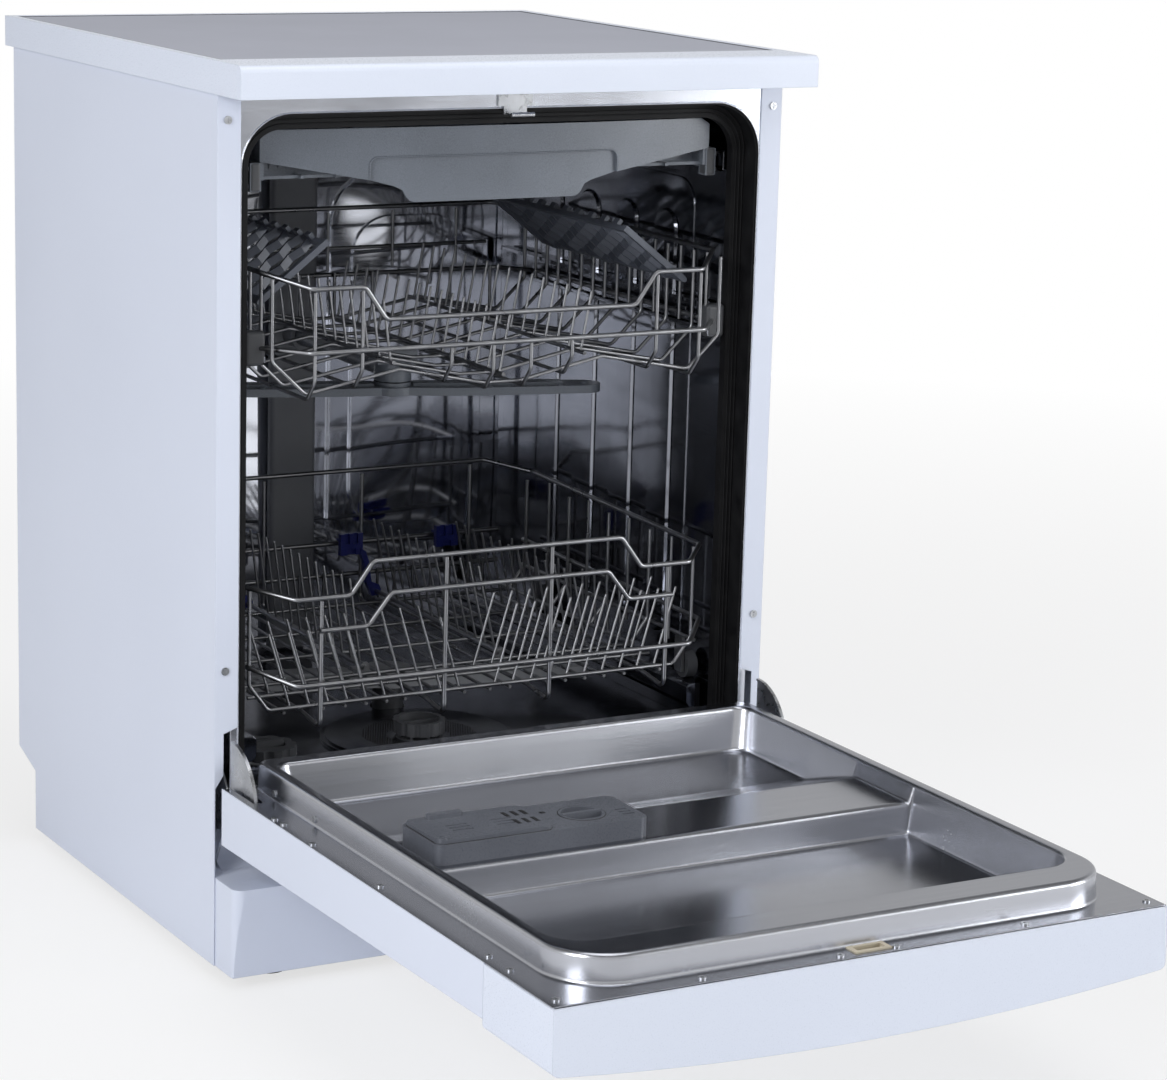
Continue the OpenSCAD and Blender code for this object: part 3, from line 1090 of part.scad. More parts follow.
// The part of the bowed sheet between the depths t0 and t1 that lies inside an outline in X and Z
module tray_skin(t0, t1, outline) intersection() {
    along_z(715, 792) polygon(concat(tray_front(t0, 238), reversed(tray_front(t1, 238))));
    along_y(70, 120) polygon(outline);
}
module cutlery_tray() color("#6d7178") {
    edge = [[238, 759], [131, 740], [104, 733], [96.5, 729.5], [92, 722], [88, 719], [84, 718]];
    lobes = concat([[-238, 782], [-228, 788], [228, 788], [238, 782]], edge,
        reversed([for (p = edge) [-p[0], p[1]]]));
    window = concat([[131, 700], [131, 753]], arc([123, 753], 8, 0, 90, 4), arc([-123, 753], 8, 90, 180, 4),
        [[-131, 700]]);
    // the bowed front, cut to its lobed outline, with a recessed panel in its middle
    difference() {
        tray_skin(0, 3, lobes);
        along_y(70, 110) polygon(window);
    }
    intersection() {
        tray_skin(2.9, 5.9, lobes);
        along_y(70, 120) polygon([[-134, 700], [134, 700], [134, 764], [-134, 764]]);
    }
    // deck frame, sides and the three boxes of ribs
    for (s = [0, 1]) mirror([s, 0, 0]) {
        block([233, 98, 742], [236, 500, 778]);
        block([236, 110, tray_rail_z - 5.6], [253, 490, tray_rail_z - 2.6]);
        block([251, 110, tray_rail_z - 6], [254.6, 490, tray_rail_z + 6]);
        block([236, 97, 732], [246.8, 109.9, 758]);
    }
    block([-233.1, 497, 742], [233.1, 500, 778]);
    for (i = [0:12]) block([-233.1, 104 + 32 * i, 742], [233.1, 107 + 32 * i, 745]);
    for (x = [-158, -79, 79, 158]) block([x - 1.5, 100, 742], [x + 1.5, 498, 772]);
    // combs that hold the cutlery apart
    teeth = 8;
    for (bank = [[-233.1, -159], [-157.1, -79.5], [79.5, 157.1], [159, 233.1]]) for (i = [0:8]) {
        y = 118 + 40 * i;
        step = (bank[1] - bank[0]) / teeth;
        along_y(y, y + 2) polygon(concat([[bank[0], 743], [bank[1], 743]],
            [for (k = [0:teeth - 1]) for (q = [[0, 760], [0.3, 760], [0.5, 749], [0.8, 760]])
                [bank[1] - step * (k + q[0]), q[1]]],
            [[bank[0], 760]]));
    }
    for (x = [-195, -118, 115, 192]) block([x, 100, 742], [x + 3, 498, 745]);
}

worktop_frame();
worktop_board();
side_panel_left();
side_panel_right();
rear_panel();
base_tray();
plinth();
levelling_feet();
tub_front_frame();
tub_wrapper();
tub_back();
tub_floor();
door_gasket();
sill_seal();
door_striker();
flange_screws();
feed_duct();
upper_rails();
tray_rails();
sump();
circulation_pump();
drain_pump();
heater();
water_softener();
air_break();
water_inlet();
hinge_brackets();
balance_springs();
filter_plate();
filter_cylinder();
salt_cap();
door_outer_panel();
door_liner();
control_panel();
control_board();
latch_housing();
door_screws();
hinge_arms();
dispenser_body();
detergent_lid();
rinse_aid_cap();
power_button();
program_button();
start_button();
lower_basket_frame();
lower_tines_fixed();
folding_tines_left();
folding_tines_right();
tine_clips();
wheels_front();
wheels_rear();
lower_spray_arm();
upper_basket_frame();
upper_basket_tines();
upper_runners();
upper_feed_pipe();
upper_spray_arm();
cup_shelf_left();
cup_shelf_right();
cutlery_tray();
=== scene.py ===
# %% [markdown]
# # A free-standing dishwasher, dressed for the camera
# The engineering model of the machine is already finished: cabinet, tub, door, baskets, arms and
# pumps, each on the body that carries it. This lesson loads that model as a fixed frame, sets up a
# camera and a small photo studio, mixes a finish for every surface, and adds the fine pieces that
# the eye expects on a real machine. The frame is never moved. New pieces are written in millimetres
# and turned into Blender's metres where their meshes are made.

# %% Load the frame
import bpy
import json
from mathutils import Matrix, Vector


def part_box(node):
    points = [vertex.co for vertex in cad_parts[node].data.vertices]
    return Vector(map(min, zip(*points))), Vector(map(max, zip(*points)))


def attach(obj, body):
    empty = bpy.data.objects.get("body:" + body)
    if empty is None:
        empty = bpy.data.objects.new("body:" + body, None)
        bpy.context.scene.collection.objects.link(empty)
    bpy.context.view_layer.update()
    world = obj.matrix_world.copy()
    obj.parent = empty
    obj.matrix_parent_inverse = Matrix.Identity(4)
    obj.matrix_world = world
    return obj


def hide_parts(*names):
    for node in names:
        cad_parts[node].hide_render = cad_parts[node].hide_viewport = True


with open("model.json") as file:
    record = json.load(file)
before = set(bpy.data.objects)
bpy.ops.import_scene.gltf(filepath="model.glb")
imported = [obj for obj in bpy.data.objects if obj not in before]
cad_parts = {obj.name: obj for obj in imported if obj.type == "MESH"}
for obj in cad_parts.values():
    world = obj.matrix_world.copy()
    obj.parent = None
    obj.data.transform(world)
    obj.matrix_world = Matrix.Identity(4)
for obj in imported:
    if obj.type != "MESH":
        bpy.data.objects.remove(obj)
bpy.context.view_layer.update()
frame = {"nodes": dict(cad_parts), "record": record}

import bpy, bmesh, json, math
from mathutils import Vector, Matrix

nodes = frame["nodes"]
scene = bpy.context.scene
MM = 0.001

# %% [markdown]
# ## The camera
# A product photographer stands well back with a long lens, so that the machine keeps its square
# shape. A camera can be aimed by eye, but the place and the turn of this one were worked out from the
# machine's own straight edges, which comes closer. A yaw, a pitch and a small roll are turned into the
# three axes that Blender wants: right, up, and backwards along the view.

# %% Camera
def add_object(name, data):
    thing = bpy.data.objects.new(name, data)
    scene.collection.objects.link(thing)
    return thing


IMAGE_W = 1167
SENSOR = 36
EYE = Vector((-1.513865, -2.772215, 1.113248))
YAW, PITCH, ROLL = 0.51529, 0.21937, 0.0282
FOCAL_PX = 3448.8
NEAREST, FARTHEST = 0.05, 150

ahead = Vector((math.sin(YAW) * math.cos(PITCH), math.cos(YAW) * math.cos(PITCH), -math.sin(PITCH)))
level = Vector((math.cos(YAW), -math.sin(YAW), 0))
upright = level.cross(ahead)
right = level * math.cos(ROLL) + upright * math.sin(ROLL)
up = upright * math.cos(ROLL) - level * math.sin(ROLL)

lens = bpy.data.cameras.new("camera")
lens.sensor_width = SENSOR
lens.lens = FOCAL_PX * SENSOR / IMAGE_W
lens.clip_start, lens.clip_end = NEAREST, FARTHEST
camera = add_object("camera", lens)
camera.matrix_world = Matrix.Translation(EYE) @ Matrix((right, up, -ahead)).transposed().to_4x4()
scene.camera = camera
scene.view_settings.view_transform = "Standard"
print("lens in mm:", round(lens.lens, 1), "distance in m:", round(EYE.length, 2))

# %% [markdown]
# ## Writing shader sums as Python
# Shader networks get hard to read when every plus sign is a node that is wired by hand. A small
# class wraps one socket and turns Python's operators into Math nodes, also when the number comes
# first, as in 1 - mask. Everything else goes through one method that takes the type of a node, its
# settings, and what goes into its sockets.

# %% A socket that can be used in a sum
class Value:
    def __init__(self, shading, socket):
        self.shading, self.socket = shading, socket

    def sum(self, operation, *terms):
        return self.shading.node("Math", {"operation": operation}, dict(enumerate(terms)))

    def __add__(self, other):
        return self.sum("ADD", self, other)

    def __radd__(self, other):
        return self.sum("ADD", other, self)

    def __sub__(self, other):
        return self.sum("SUBTRACT", self, other)

    def __rsub__(self, other):
        return self.sum("SUBTRACT", other, self)

    def __mul__(self, other):
        return self.sum("MULTIPLY", self, other)

    def __rmul__(self, other):
        return self.sum("MULTIPLY", other, self)

    def larger(self, other):
        return self.sum("MAXIMUM", self, other)


print("operators in use: + - * and larger")


# %% Adding nodes to a shader tree
class Shading:
    """One shader tree, of a material or of the world."""
    def __init__(self, tree):
        self.tree = tree

    def fill(self, node, inputs):
        for key, value in inputs.items():
            socket = node.inputs[key]
            if isinstance(value, Value):
                self.tree.links.new(value.socket, socket)
            else:
                socket.default_value = value

    def node(self, kind, settings=None, inputs=None, out=0):
        node = self.tree.nodes.new("ShaderNode" + kind)
        for key, value in (settings or {}).items():
            if key == "colors":
                for end, color in zip(node.color_ramp.elements, value):
                    end.color = (*color, 1)
            else:
                setattr(node, key, value)
        self.fill(node, inputs or {})
        return Value(self, node.outputs[out])

    def place(self):
        """Object coordinates: metres in the frame of the machine."""
        return self.node("TexCoord", out="Object")

    def stretched(self, x, y, z):
        return self.node("Mapping", None, {"Vector": self.place(), "Scale": (x, y, z)})

    def noise(self, scale, detail=2.0, rough=0.5, along=None):
        return self.node("TexNoise", None, {"Vector": along or self.place(), "Scale": scale,
                                            "Detail": detail, "Roughness": rough})

    def spread(self, value, low, high, at=(0.3, 0.7)):
        """Stretches a noise between two numbers."""
        limits = {"From Min": at[0], "From Max": at[1], "To Min": low, "To Max": high}
        return self.node("MapRange", {"clamp": True}, {"Value": value, **limits})

    def tint(self, factor, dark, light):
        return self.node("ValToRGB", {"colors": (dark, light)}, {"Fac": factor})

    def bump(self, height, depth, edge=None):
        inputs = {"Height": height, "Distance": depth, "Strength": 1.0}
        if edge:
            inputs["Normal"] = self.node("Bevel", {"samples": 4}, {"Radius": edge})
        return self.node("Bump", None, inputs)


print("nodes are added by type, settings and inputs")


# %% A finish: one material with its Principled shader
class Finish(Shading):
    def __init__(self, name, color, metal=0.0, rough=0.5, **fixed):
        self.material = bpy.data.materials.new(name)
        self.material.use_nodes = True
        super().__init__(self.material.node_tree)
        self.shader = self.tree.nodes["Principled BSDF"]
        self.fill(self.shader, {"Base Color": (*color, 1), "Metallic": metal, "Roughness": rough, **fixed})

    def use(self, **sockets):
        self.fill(self.shader, {key.replace("_", " "): value for key, value in sockets.items()})
        return self.material


print("a finish has one material and one shader")

# %% [markdown]
# ## The studio
# The machine stands on a white sweep. A lit sheet of paper alone would go grey far away, and pure white
# alone would lose the shadow. So near the machine the floor is part real diffuse paper and part its own
# white for the camera, and further out the white takes over, so no edge of the floor shows at the top
# of the picture.

# %% Floor
SWEEP = 60
floor_mesh = bpy.data.meshes.new("floor")
floor_mesh.from_pydata([(-SWEEP, -SWEEP, 0), (SWEEP, -SWEEP, 0), (SWEEP, SWEEP, 0), (-SWEEP, SWEEP, 0)],
                       [], [(0, 1, 2, 3)])
floor = add_object("floor", floor_mesh)

WHITE_NEAR, WHITE_FAR, FADE = 0.70, 1.0, (1.0, 3.4)
paper = Finish("studio_paper", (0.86, 0.86, 0.87), rough=0.9)
seen_directly = paper.node("LightPath", out="Is Camera Ray")
distance_out = paper.node("VectorMath", {"operation": "LENGTH"}, {0: paper.place()}, out="Value")
own_white = paper.node("Emission", None, {"Color": (1, 1, 1, 1), "Strength": 1.0})
white_share = seen_directly * paper.spread(distance_out, WHITE_NEAR, WHITE_FAR, FADE)
lit_paper = Value(paper, paper.shader.outputs[0])
paper_mix = paper.node("MixShader", None, {0: white_share, 1: lit_paper, 2: own_white})
paper.fill(paper.tree.nodes["Material Output"], {"Surface": paper_mix})
floor_mesh.materials.append(paper.material)
print("floor in metres:", 2 * SWEEP, "by", 2 * SWEEP)

# %% [markdown]
# The world is white for the camera and a calm grey for the even light that fills the room. Steel shows
# nothing but what it mirrors, so the mirrored world matters most here: a soft white near the horizon and
# darker overhead, like a room with light walls, lets every bend of the sheet show.

# %% World
world = bpy.data.worlds.new("studio")
scene.world = world
world.use_nodes = True
sky = Shading(world.node_tree)
EVEN, MIRRORED, OVERHEAD, TURNS_DARK = 0.34, 0.66, 0.24, (0.40, 0.65)
sky_seen = sky.node("LightPath", out="Is Camera Ray")
sky_in_gloss = sky.node("LightPath", out="Is Glossy Ray")
sky_through = sky.node("LightPath", out="Is Transmission Ray")
steepness = sky.node("SeparateXYZ", None, {"Vector": sky.node("TexCoord", out="Generated")}, out="Z")
mirrored = sky.spread(steepness, MIRRORED, OVERHEAD, TURNS_DARK)
sky_level = sky_seen.larger(sky_through) * (1 - EVEN) + sky_in_gloss * (mirrored - EVEN) + EVEN
sky.fill(sky.tree.nodes["Background"], {"Color": (1.0, 1.0, 1.0, 1), "Strength": sky_level})
print("world: even", EVEN, "mirrored", MIRRORED, "overhead", OVERHEAD)

# %% [markdown]
# Three softboxes light the white panels: a key on the left, a fill on the right, and a wide one above.
# The fill stands well to the side. Straight in front it would be mirrored in the pans of the door, which
# should stay dark.

# %% Lamps
def softbox(name, place, aim, size, power, color):
    data = bpy.data.lights.new(name, "AREA")
    data.shape = "RECTANGLE"
    data.size, data.size_y = size
    data.energy, data.color = power, color
    lamp = add_object(name, data)
    lamp.location = place
    lamp.rotation_euler = (Vector(aim) - Vector(place)).to_track_quat("-Z", "Y").to_euler()
    print(name, "watts:", power, "size in metres:", size)


softbox("key_left", (-3.2, -1.6, 1.9), (0, 0.2, 0.45), (1.6, 2.2), 73, (0.95, 0.97, 1.0))
softbox("front_fill", (3.4, -2.9, 1.1), (0, -0.1, 0.45), (2.0, 1.5), 77, (0.96, 0.98, 1.0))
softbox("top", (0.2, -0.4, 3.4), (0, -0.1, 0.3), (2.4, 2.0), 34, (0.97, 0.98, 1.0))

# %% [markdown]
# ## Paint and trim
# Enamel on sheet steel has a faint orange-peel skin under its gloss, and moulded trim has a finer grain.
# Painted textures could show both, but noise in object coordinates needs no unwrapping and holds still
# on the piece from every side. It is set at the real size of the grain. A Bevel node rounds the look of
# each folded edge, where the frame has a sharp one.

# %% White enamel and the white trim
EDGE = 1.1 * MM
enamel = Finish("white_enamel", (0.73, 0.77, 0.89), rough=0.34,
                **{"Coat Weight": 0.25, "Coat Roughness": 0.12})
peel = enamel.noise(420, 1.0)
enamel_drift = enamel.spread(enamel.noise(3.1, 2.0), 0, 1)
enamel.use(Base_Color=enamel.tint(enamel_drift, (0.715, 0.758, 0.872), (0.745, 0.788, 0.902)),
           Roughness=enamel.spread(peel, 0.30, 0.38), Normal=enamel.bump(peel, 0.04 * MM, edge=EDGE))

trim = Finish("white_trim", (0.74, 0.785, 0.895), rough=0.3)
trim_grain = trim.noise(900, 1.0)
trim_drift = trim.spread(trim.noise(4.0), 0, 1)
trim.use(Base_Color=trim.tint(trim_drift, (0.735, 0.78, 0.885), (0.765, 0.81, 0.915)),
         Roughness=trim.spread(trim_grain, 0.26, 0.36), Normal=trim.bump(trim_grain, 0.02 * MM, edge=EDGE))
print("mixed:", enamel.material.name, trim.material.name)

# %% [markdown]
# The worktop is a board with a grey laminate. Printed paper lies under its clear skin, so the colour has
# fine specks as well as slow clouds, and the skin has a dull, even grain. A scanned pattern would
# repeat, so two noises are mixed instead: a fast one for the specks and a slow one for the clouds.

# %% Grey laminate of the worktop
laminate = Finish("grey_laminate", (0.41, 0.42, 0.49), rough=0.5)
speck = laminate.noise(1500, 1.0)
cloud = laminate.noise(9.0, 3.0)
printed = laminate.spread(speck * 0.7 + cloud * 0.3, 0, 1, (0.35, 0.65))
laminate.use(Base_Color=laminate.tint(printed, (0.375, 0.388, 0.452), (0.435, 0.448, 0.520)),
             Roughness=laminate.spread(speck, 0.46, 0.58), Normal=laminate.bump(speck, 0.03 * MM))
print("mixed:", laminate.material.name)

# %% [markdown]
# ## Plastics and rubber
# A mould is etched with a fine grain, so its plastic is never a flat colour: the pits dull it, and the
# shade wanders a little where the melt cooled. The recipe is the same for every colour, so one function
# mixes them all.

# %% Moulded plastics from one recipe
MOULD_GRAIN, GRAIN_DEPTH = 1400, 0.02 * MM
SHINIER, DULLER = 0.06, 0.08


def plastic(name, dark, light, rough):
    made = Finish(name, light, rough=rough)
    pits = made.noise(MOULD_GRAIN, 2.0)
    shade = made.spread(made.noise(14.0, 2.0), 0, 1)
    print("mixed:", name)
    return made.use(Base_Color=made.tint(shade, dark, light),
                    Roughness=made.spread(pits, rough - SHINIER, rough + DULLER),
                    Normal=made.bump(pits, GRAIN_DEPTH))


dark_plastic = plastic("dark_plastic", (0.060, 0.062, 0.068), (0.085, 0.088, 0.096), 0.42)
black_plastic = plastic("black_plastic", (0.012, 0.012, 0.013), (0.024, 0.024, 0.026), 0.48)
# The duct gets a lighter grey of its own: painted light, because little lamp light reaches it.
duct_plastic_painted_light = plastic("duct_plastic_painted_light", (0.27, 0.28, 0.305), (0.32, 0.33, 0.355), 0.42)
grey_plastic = plastic("grey_plastic", (0.142, 0.158, 0.184), (0.175, 0.194, 0.226), 0.27)
light_plastic = plastic("light_grey_plastic", (0.36, 0.37, 0.39), (0.42, 0.43, 0.45), 0.42)
silver_plastic = plastic("silver_plastic", (0.105, 0.112, 0.132), (0.135, 0.143, 0.166), 0.30)
shelf_plastic = plastic("shelf_plastic", (0.085, 0.094, 0.118), (0.122, 0.134, 0.164), 0.38)
white_plastic = plastic("white_plastic", (0.70, 0.71, 0.73), (0.76, 0.77, 0.79), 0.45)
beige_plastic = plastic("beige_plastic", (0.50, 0.44, 0.33), (0.58, 0.52, 0.40), 0.42)
blue_plastic = plastic("blue_plastic", (0.012, 0.018, 0.16), (0.020, 0.032, 0.26), 0.30)

# %% [markdown]
# The gasket is black rubber with a slight bloom, which shows as soft patches that are duller, so one
# noise drives both its shade and its roughness. The control board behind the panel is green. Its tracks
# could be drawn one by one, but it is seldom seen, and a brick pattern stands for their rows.

# %% Rubber and circuit board
rubber = Finish("black_rubber", (0.008, 0.008, 0.009), rough=0.6, **{"Specular IOR Level": 0.22})
bloom = rubber.noise(60, 3.0)
rubber.use(Base_Color=rubber.tint(rubber.spread(bloom, 0, 1), (0.005, 0.005, 0.006), (0.012, 0.012, 0.013)),
           Roughness=rubber.spread(bloom, 0.52, 0.70), Normal=rubber.bump(rubber.noise(1800, 1.0), 0.03 * MM))

board = Finish("circuit_board", (0.03, 0.20, 0.10), rough=0.4)
tracks = board.node("TexBrick", None, {"Vector": board.place(), "Scale": 90, "Color1": (0.02, 0.17, 0.08, 1),
                                       "Color2": (0.03, 0.24, 0.12, 1), "Mortar": (0.30, 0.26, 0.10, 1),
                                       "Mortar Size": 0.03})
board.use(Base_Color=tracks, Normal=board.bump(board.noise(700, 1.0), 0.03 * MM))
print("mixed:", rubber.material.name, board.material.name)

# %% [markdown]
# ## Metals
# The tub is rolled bright: it mirrors the baskets, a little wavy, with a haze that changes from place
# to place. Its walls are painted dark and its floor darker still, painted shade for the dark inside of
# the tub. Its rear wall is pressed hardest and swells the most, in broad soft waves, and its steel is
# painted much lighter, so the light that falls in at the door breaks up into bright pools there, partly
# painted light. The flange round the mouth is painted light too, a painted reflection of the white room.
# The waves could be modelled, but a bump is enough where only the mirror image has to bend.

# %% Stainless steel, bright for the tub
PRESSED_EDGE = 1.6 * MM


def rolled(name, dark, light, clean, hazy, swell_depth, swell_scale=9.0, swell_detail=1.5):
    steel = Finish(name, light, metal=1.0, rough=clean)
    haze = steel.noise(7.0, 4.0)
    rolling = steel.noise(60.0, 2.0, along=steel.stretched(1.0, 1.0, 9.0))
    swell = steel.noise(swell_scale, swell_detail)
    print("mixed:", name)
    return steel.use(Base_Color=steel.tint(steel.spread(haze, 0, 1), dark, light),
                     Roughness=steel.spread(haze * 0.6 + rolling * 0.4, clean, hazy),
                     Normal=steel.bump(swell, swell_depth, edge=PRESSED_EDGE))


# Four copies of one steel, painted light and shade by place: the walls dark, the floor darker, the rear wall
# and the flange light.
tub_steel_painted_shade = rolled("tub_steel_painted_shade", (0.20, 0.207, 0.232), (0.30, 0.31, 0.345), 0.06, 0.16, 1.4 * MM)
rear_wall_painted_light = rolled("tub_rear_wall_painted_light", (0.70, 0.72, 0.78), (0.86, 0.88, 0.94), 0.04, 0.09, 20 * MM,
                    swell_scale=5.0, swell_detail=0.0)
flange_steel_painted_reflection = rolled("flange_steel_painted_reflection", (0.68, 0.70, 0.76), (0.76, 0.78, 0.84), 0.16, 0.26, 0.3 * MM)
floor_painted_shade = rolled("tub_floor_painted_shade", (0.17, 0.175, 0.195), (0.25, 0.255, 0.28), 0.12, 0.26, 1.0 * MM)

# %% [markdown]
# The liner of the door is satin steel, smooth where the sheet lies flat. Where the press has drawn it
# into walls it is rougher, and the walls are painted lighter than the flat pans: painted light, as the
# walls catch the lamps while the pans mirror the dark tub. The shader could guess the walls from the
# normal, but an attribute named drawn, which the mesh of the liner carries, says it
# face by face.

# %% Stainless steel, satin for the door
liner_steel = Finish("liner_steel", (0.47, 0.48, 0.51), metal=1.0, rough=0.2)
brushed = liner_steel.noise(6.0, 3.0, 0.55, liner_steel.stretched(1.0, 60.0, 60.0))
smear = liner_steel.noise(4.0, 3.0)
# Steep walls are painted lighter, as painted light, and are also made a little rougher.
drawn = liner_steel.node("Attribute", {"attribute_name": "drawn"}, out="Fac")
cloudy = liner_steel.spread(brushed * 0.4 + smear * 0.6, 0, 1)
cloud_and_painted_light = cloudy * 0.28 + drawn * 0.72
liner_steel.use(Base_Color=liner_steel.tint(cloud_and_painted_light, (0.34, 0.35, 0.385), (0.60, 0.61, 0.65)),
                Roughness=liner_steel.spread(brushed * 0.3 + smear * 0.7, 0.18, 0.23) + drawn * 0.05,
                Normal=liner_steel.bump(smear, 0.2 * MM, edge=PRESSED_EDGE))
print("mixed:", liner_steel.material.name)

# %% [markdown]
# The wires of the baskets are plated and tumbled to an even grey satin. Screws, hinges and springs are
# zinc plated, which leaves them patchy. The rear panel is galvanised, and its zinc freezes into large
# crystals: a Voronoi pattern has just that look.

# %% Plated wire, zinc plate, galvanised sheet
wire_metal = Finish("plated_wire", (0.40, 0.40, 0.41), metal=1.0, rough=0.3)
tumble = wire_metal.noise(45, 2.0)
wire_shade = wire_metal.spread(tumble, 0, 1)
wire_metal.use(Base_Color=wire_metal.tint(wire_shade, (0.27, 0.273, 0.285), (0.33, 0.333, 0.345)),
               Roughness=wire_metal.spread(tumble, 0.27, 0.34))

zinc = Finish("zinc_plate", (0.55, 0.56, 0.58), metal=1.0, rough=0.3)
zinc.use(Roughness=zinc.spread(zinc.noise(120, 3.0), 0.22, 0.42),
         Base_Color=zinc.tint(zinc.spread(zinc.noise(50, 2.0), 0, 1), (0.46, 0.47, 0.49), (0.60, 0.61, 0.63)))

spangle = Finish("galvanised_sheet", (0.5, 0.52, 0.54), metal=1.0, rough=0.45)
CRYSTAL_SPREAD = (0.0, 0.8)
crystals = spangle.node("TexVoronoi", None, {"Vector": spangle.place(), "Scale": 90.0})
crystal_shade = spangle.spread(crystals, 0, 1, CRYSTAL_SPREAD)
spangle.use(Base_Color=spangle.tint(crystal_shade, (0.42, 0.44, 0.46), (0.58, 0.60, 0.62)),
            Roughness=spangle.spread(crystals, 0.35, 0.55, CRYSTAL_SPREAD))
print("mixed:", wire_metal.material.name, zinc.material.name, spangle.material.name)

# %% [markdown]
# ## Dressing the frame
# The record names a material slot for each node of the frame. Each node could be dressed by hand, but
# one table that pairs each slot with a finish from above misses none. A second, short table holds the
# few nodes whose finish differs from the rest of their slot.

# %% Give every node its finish
finish_of_slot = {
    "white_paint": enamel.material, "white_trim": trim.material, "grey_laminate": laminate.material,
    "galvanised_steel": spangle.material, "dark_plastic": dark_plastic, "black_plastic": black_plastic,
    "stainless_bright": tub_steel_painted_shade, "stainless_satin": liner_steel.material,
    "black_rubber": rubber.material, "plated_steel": zinc.material, "grey_plastic": grey_plastic,
    "light_grey_plastic": light_plastic, "white_plastic": white_plastic, "circuit_board": board.material,
    "beige_plastic": beige_plastic, "silver_plastic": silver_plastic, "basket_wire": wire_metal.material,
    "blue_plastic": blue_plastic,
}
# Most of these are copies painted lighter or darker, as painted light and shade: the rear wall, floor, filter
# plate and flange of the tub, and the duct.
finish_of_node = {
    "tub_back": rear_wall_painted_light, "tub_floor": floor_painted_shade, "filter_plate": floor_painted_shade,
    "tub_front_frame": flange_steel_painted_reflection, "feed_duct": duct_plastic_painted_light,
    "cup_shelf_left": shelf_plastic, "cup_shelf_right": shelf_plastic,
}
slot_of_node = {part["node"]: part["material_slot"] for part in frame["record"]["subparts"]}
for name, node in nodes.items():
    node.data.materials.clear()
    node.data.materials.append(finish_of_node.get(name, finish_of_slot[slot_of_node[name]]))
print("nodes dressed:", len(slot_of_node))

# %% [markdown]
# ## Round things that look round
# The frame comes as loose flat triangles. A press or a wire-drawing die leaves no facets, so each node
# gets a small node tree as a modifier, which leaves the mesh of the frame itself alone. It joins the
# corners that touch, shades everything smoothly, and keeps every edge sharp that turns by more than
# thirty degrees. A second modifier lets the large faces decide the shading, so a flat sheet stays flat
# right up to its rounded edge.

# %% Building node trees
class Tree:
    """A geometry node tree with named inputs, built link by link."""
    def __init__(self, name, **inputs):
        self.group = bpy.data.node_groups.new(name, "GeometryNodeTree")
        self.group.interface.new_socket("Geometry", in_out="INPUT", socket_type="NodeSocketGeometry")
        for key, kind in inputs.items():
            self.group.interface.new_socket(key, in_out="INPUT", socket_type="NodeSocket" + kind)
        self.group.interface.new_socket("Geometry", in_out="OUTPUT", socket_type="NodeSocketGeometry")
        self.given = self.group.nodes.new("NodeGroupInput").outputs

    def add(self, kind, settings=None, inputs=None, out=0):
        node = self.group.nodes.new(kind)
        for key, value in (settings or {}).items():
            setattr(node, key, value)
        for key, value in (inputs or {}).items():
            if isinstance(value, bpy.types.NodeSocket):
                self.group.links.new(value, node.inputs[key])
            else:
                node.inputs[key].default_value = value
        return node.outputs[out]

    def maths(self, operation, *terms):
        return self.add("ShaderNodeMath", {"operation": operation}, dict(enumerate(terms)))

    def is_so(self, operation, first, second):
        """Compares two numbers, such as GREATER_THAN."""
        return self.add("FunctionNodeCompare", {"data_type": "FLOAT", "operation": operation},
                        {0: first, 1: second})

    def give(self, geometry):
        """Ends the tree with the geometry that it gives back."""
        self.group.links.new(geometry, self.group.nodes.new("NodeGroupOutput").inputs[0])
        print("tree", self.group.name, "has nodes:", len(self.group.nodes))

    def close(self, geometry):
        """A tree that grows a piece ends with real geometry that carries its material."""
        real = self.add("GeometryNodeRealizeInstances", None, {"Geometry": geometry})
        self.give(self.add("GeometryNodeSetMaterial", None,
                           {"Geometry": real, "Material": self.given["Material"]}))

    def put_on(self, thing, **values):
        modifier = thing.modifiers.new(self.group.name, "NODES")
        modifier.node_group = self.group
        for item in self.group.interface.items_tree:
            if item.in_out == "INPUT" and item.name in values:
                modifier[item.identifier] = values[item.name]


print("trees are built from named inputs")

# %% Smooth shading with sharp edges
SHARP_TURN = math.radians(30)
TOUCHING = 0.002 * MM
FLAT_WEIGHT = 90
soft = Tree("soft_shading", Sharp_Angle="Float")
joined = soft.add("GeometryNodeMergeByDistance", None,
                  {"Geometry": soft.given["Geometry"], "Distance": TOUCHING})
turn = soft.add("GeometryNodeInputMeshEdgeAngle")
sharp = soft.is_so("GREATER_THAN", turn, soft.given["Sharp_Angle"])
smooth = soft.add("GeometryNodeSetShadeSmooth", {"domain": "FACE"},
                  {"Geometry": joined, "Shade Smooth": True})
soft.give(soft.add("GeometryNodeSetShadeSmooth", {"domain": "EDGE"},
                   {"Geometry": smooth, "Selection": sharp, "Shade Smooth": False}))


def let_flats_lead(thing):
    flats = thing.modifiers.new("large_faces_lead", "WEIGHTED_NORMAL")
    flats.mode, flats.weight, flats.keep_sharp = "FACE_AREA", FLAT_WEIGHT, True


for node in nodes.values():
    soft.put_on(node, Sharp_Angle=SHARP_TURN)
    let_flats_lead(node)
print("nodes softened:", len(nodes))

# %% [markdown]
# ## The pressed liner of the door
# The inside of the door is one sheet of stainless steel, pressed into a raised rim, two pans and a
# platform between them. Its rim has tight corners that catch a thin line of light, and the frame shows
# them with few facets. A subdivided box would round them, but would also round what is straight. So the
# same pressing is laid out again with many more sections: closed rings that step from the flange over
# the rim and down into the pan, and strips that close the pan from side to side. Every size is the
# frame's own.

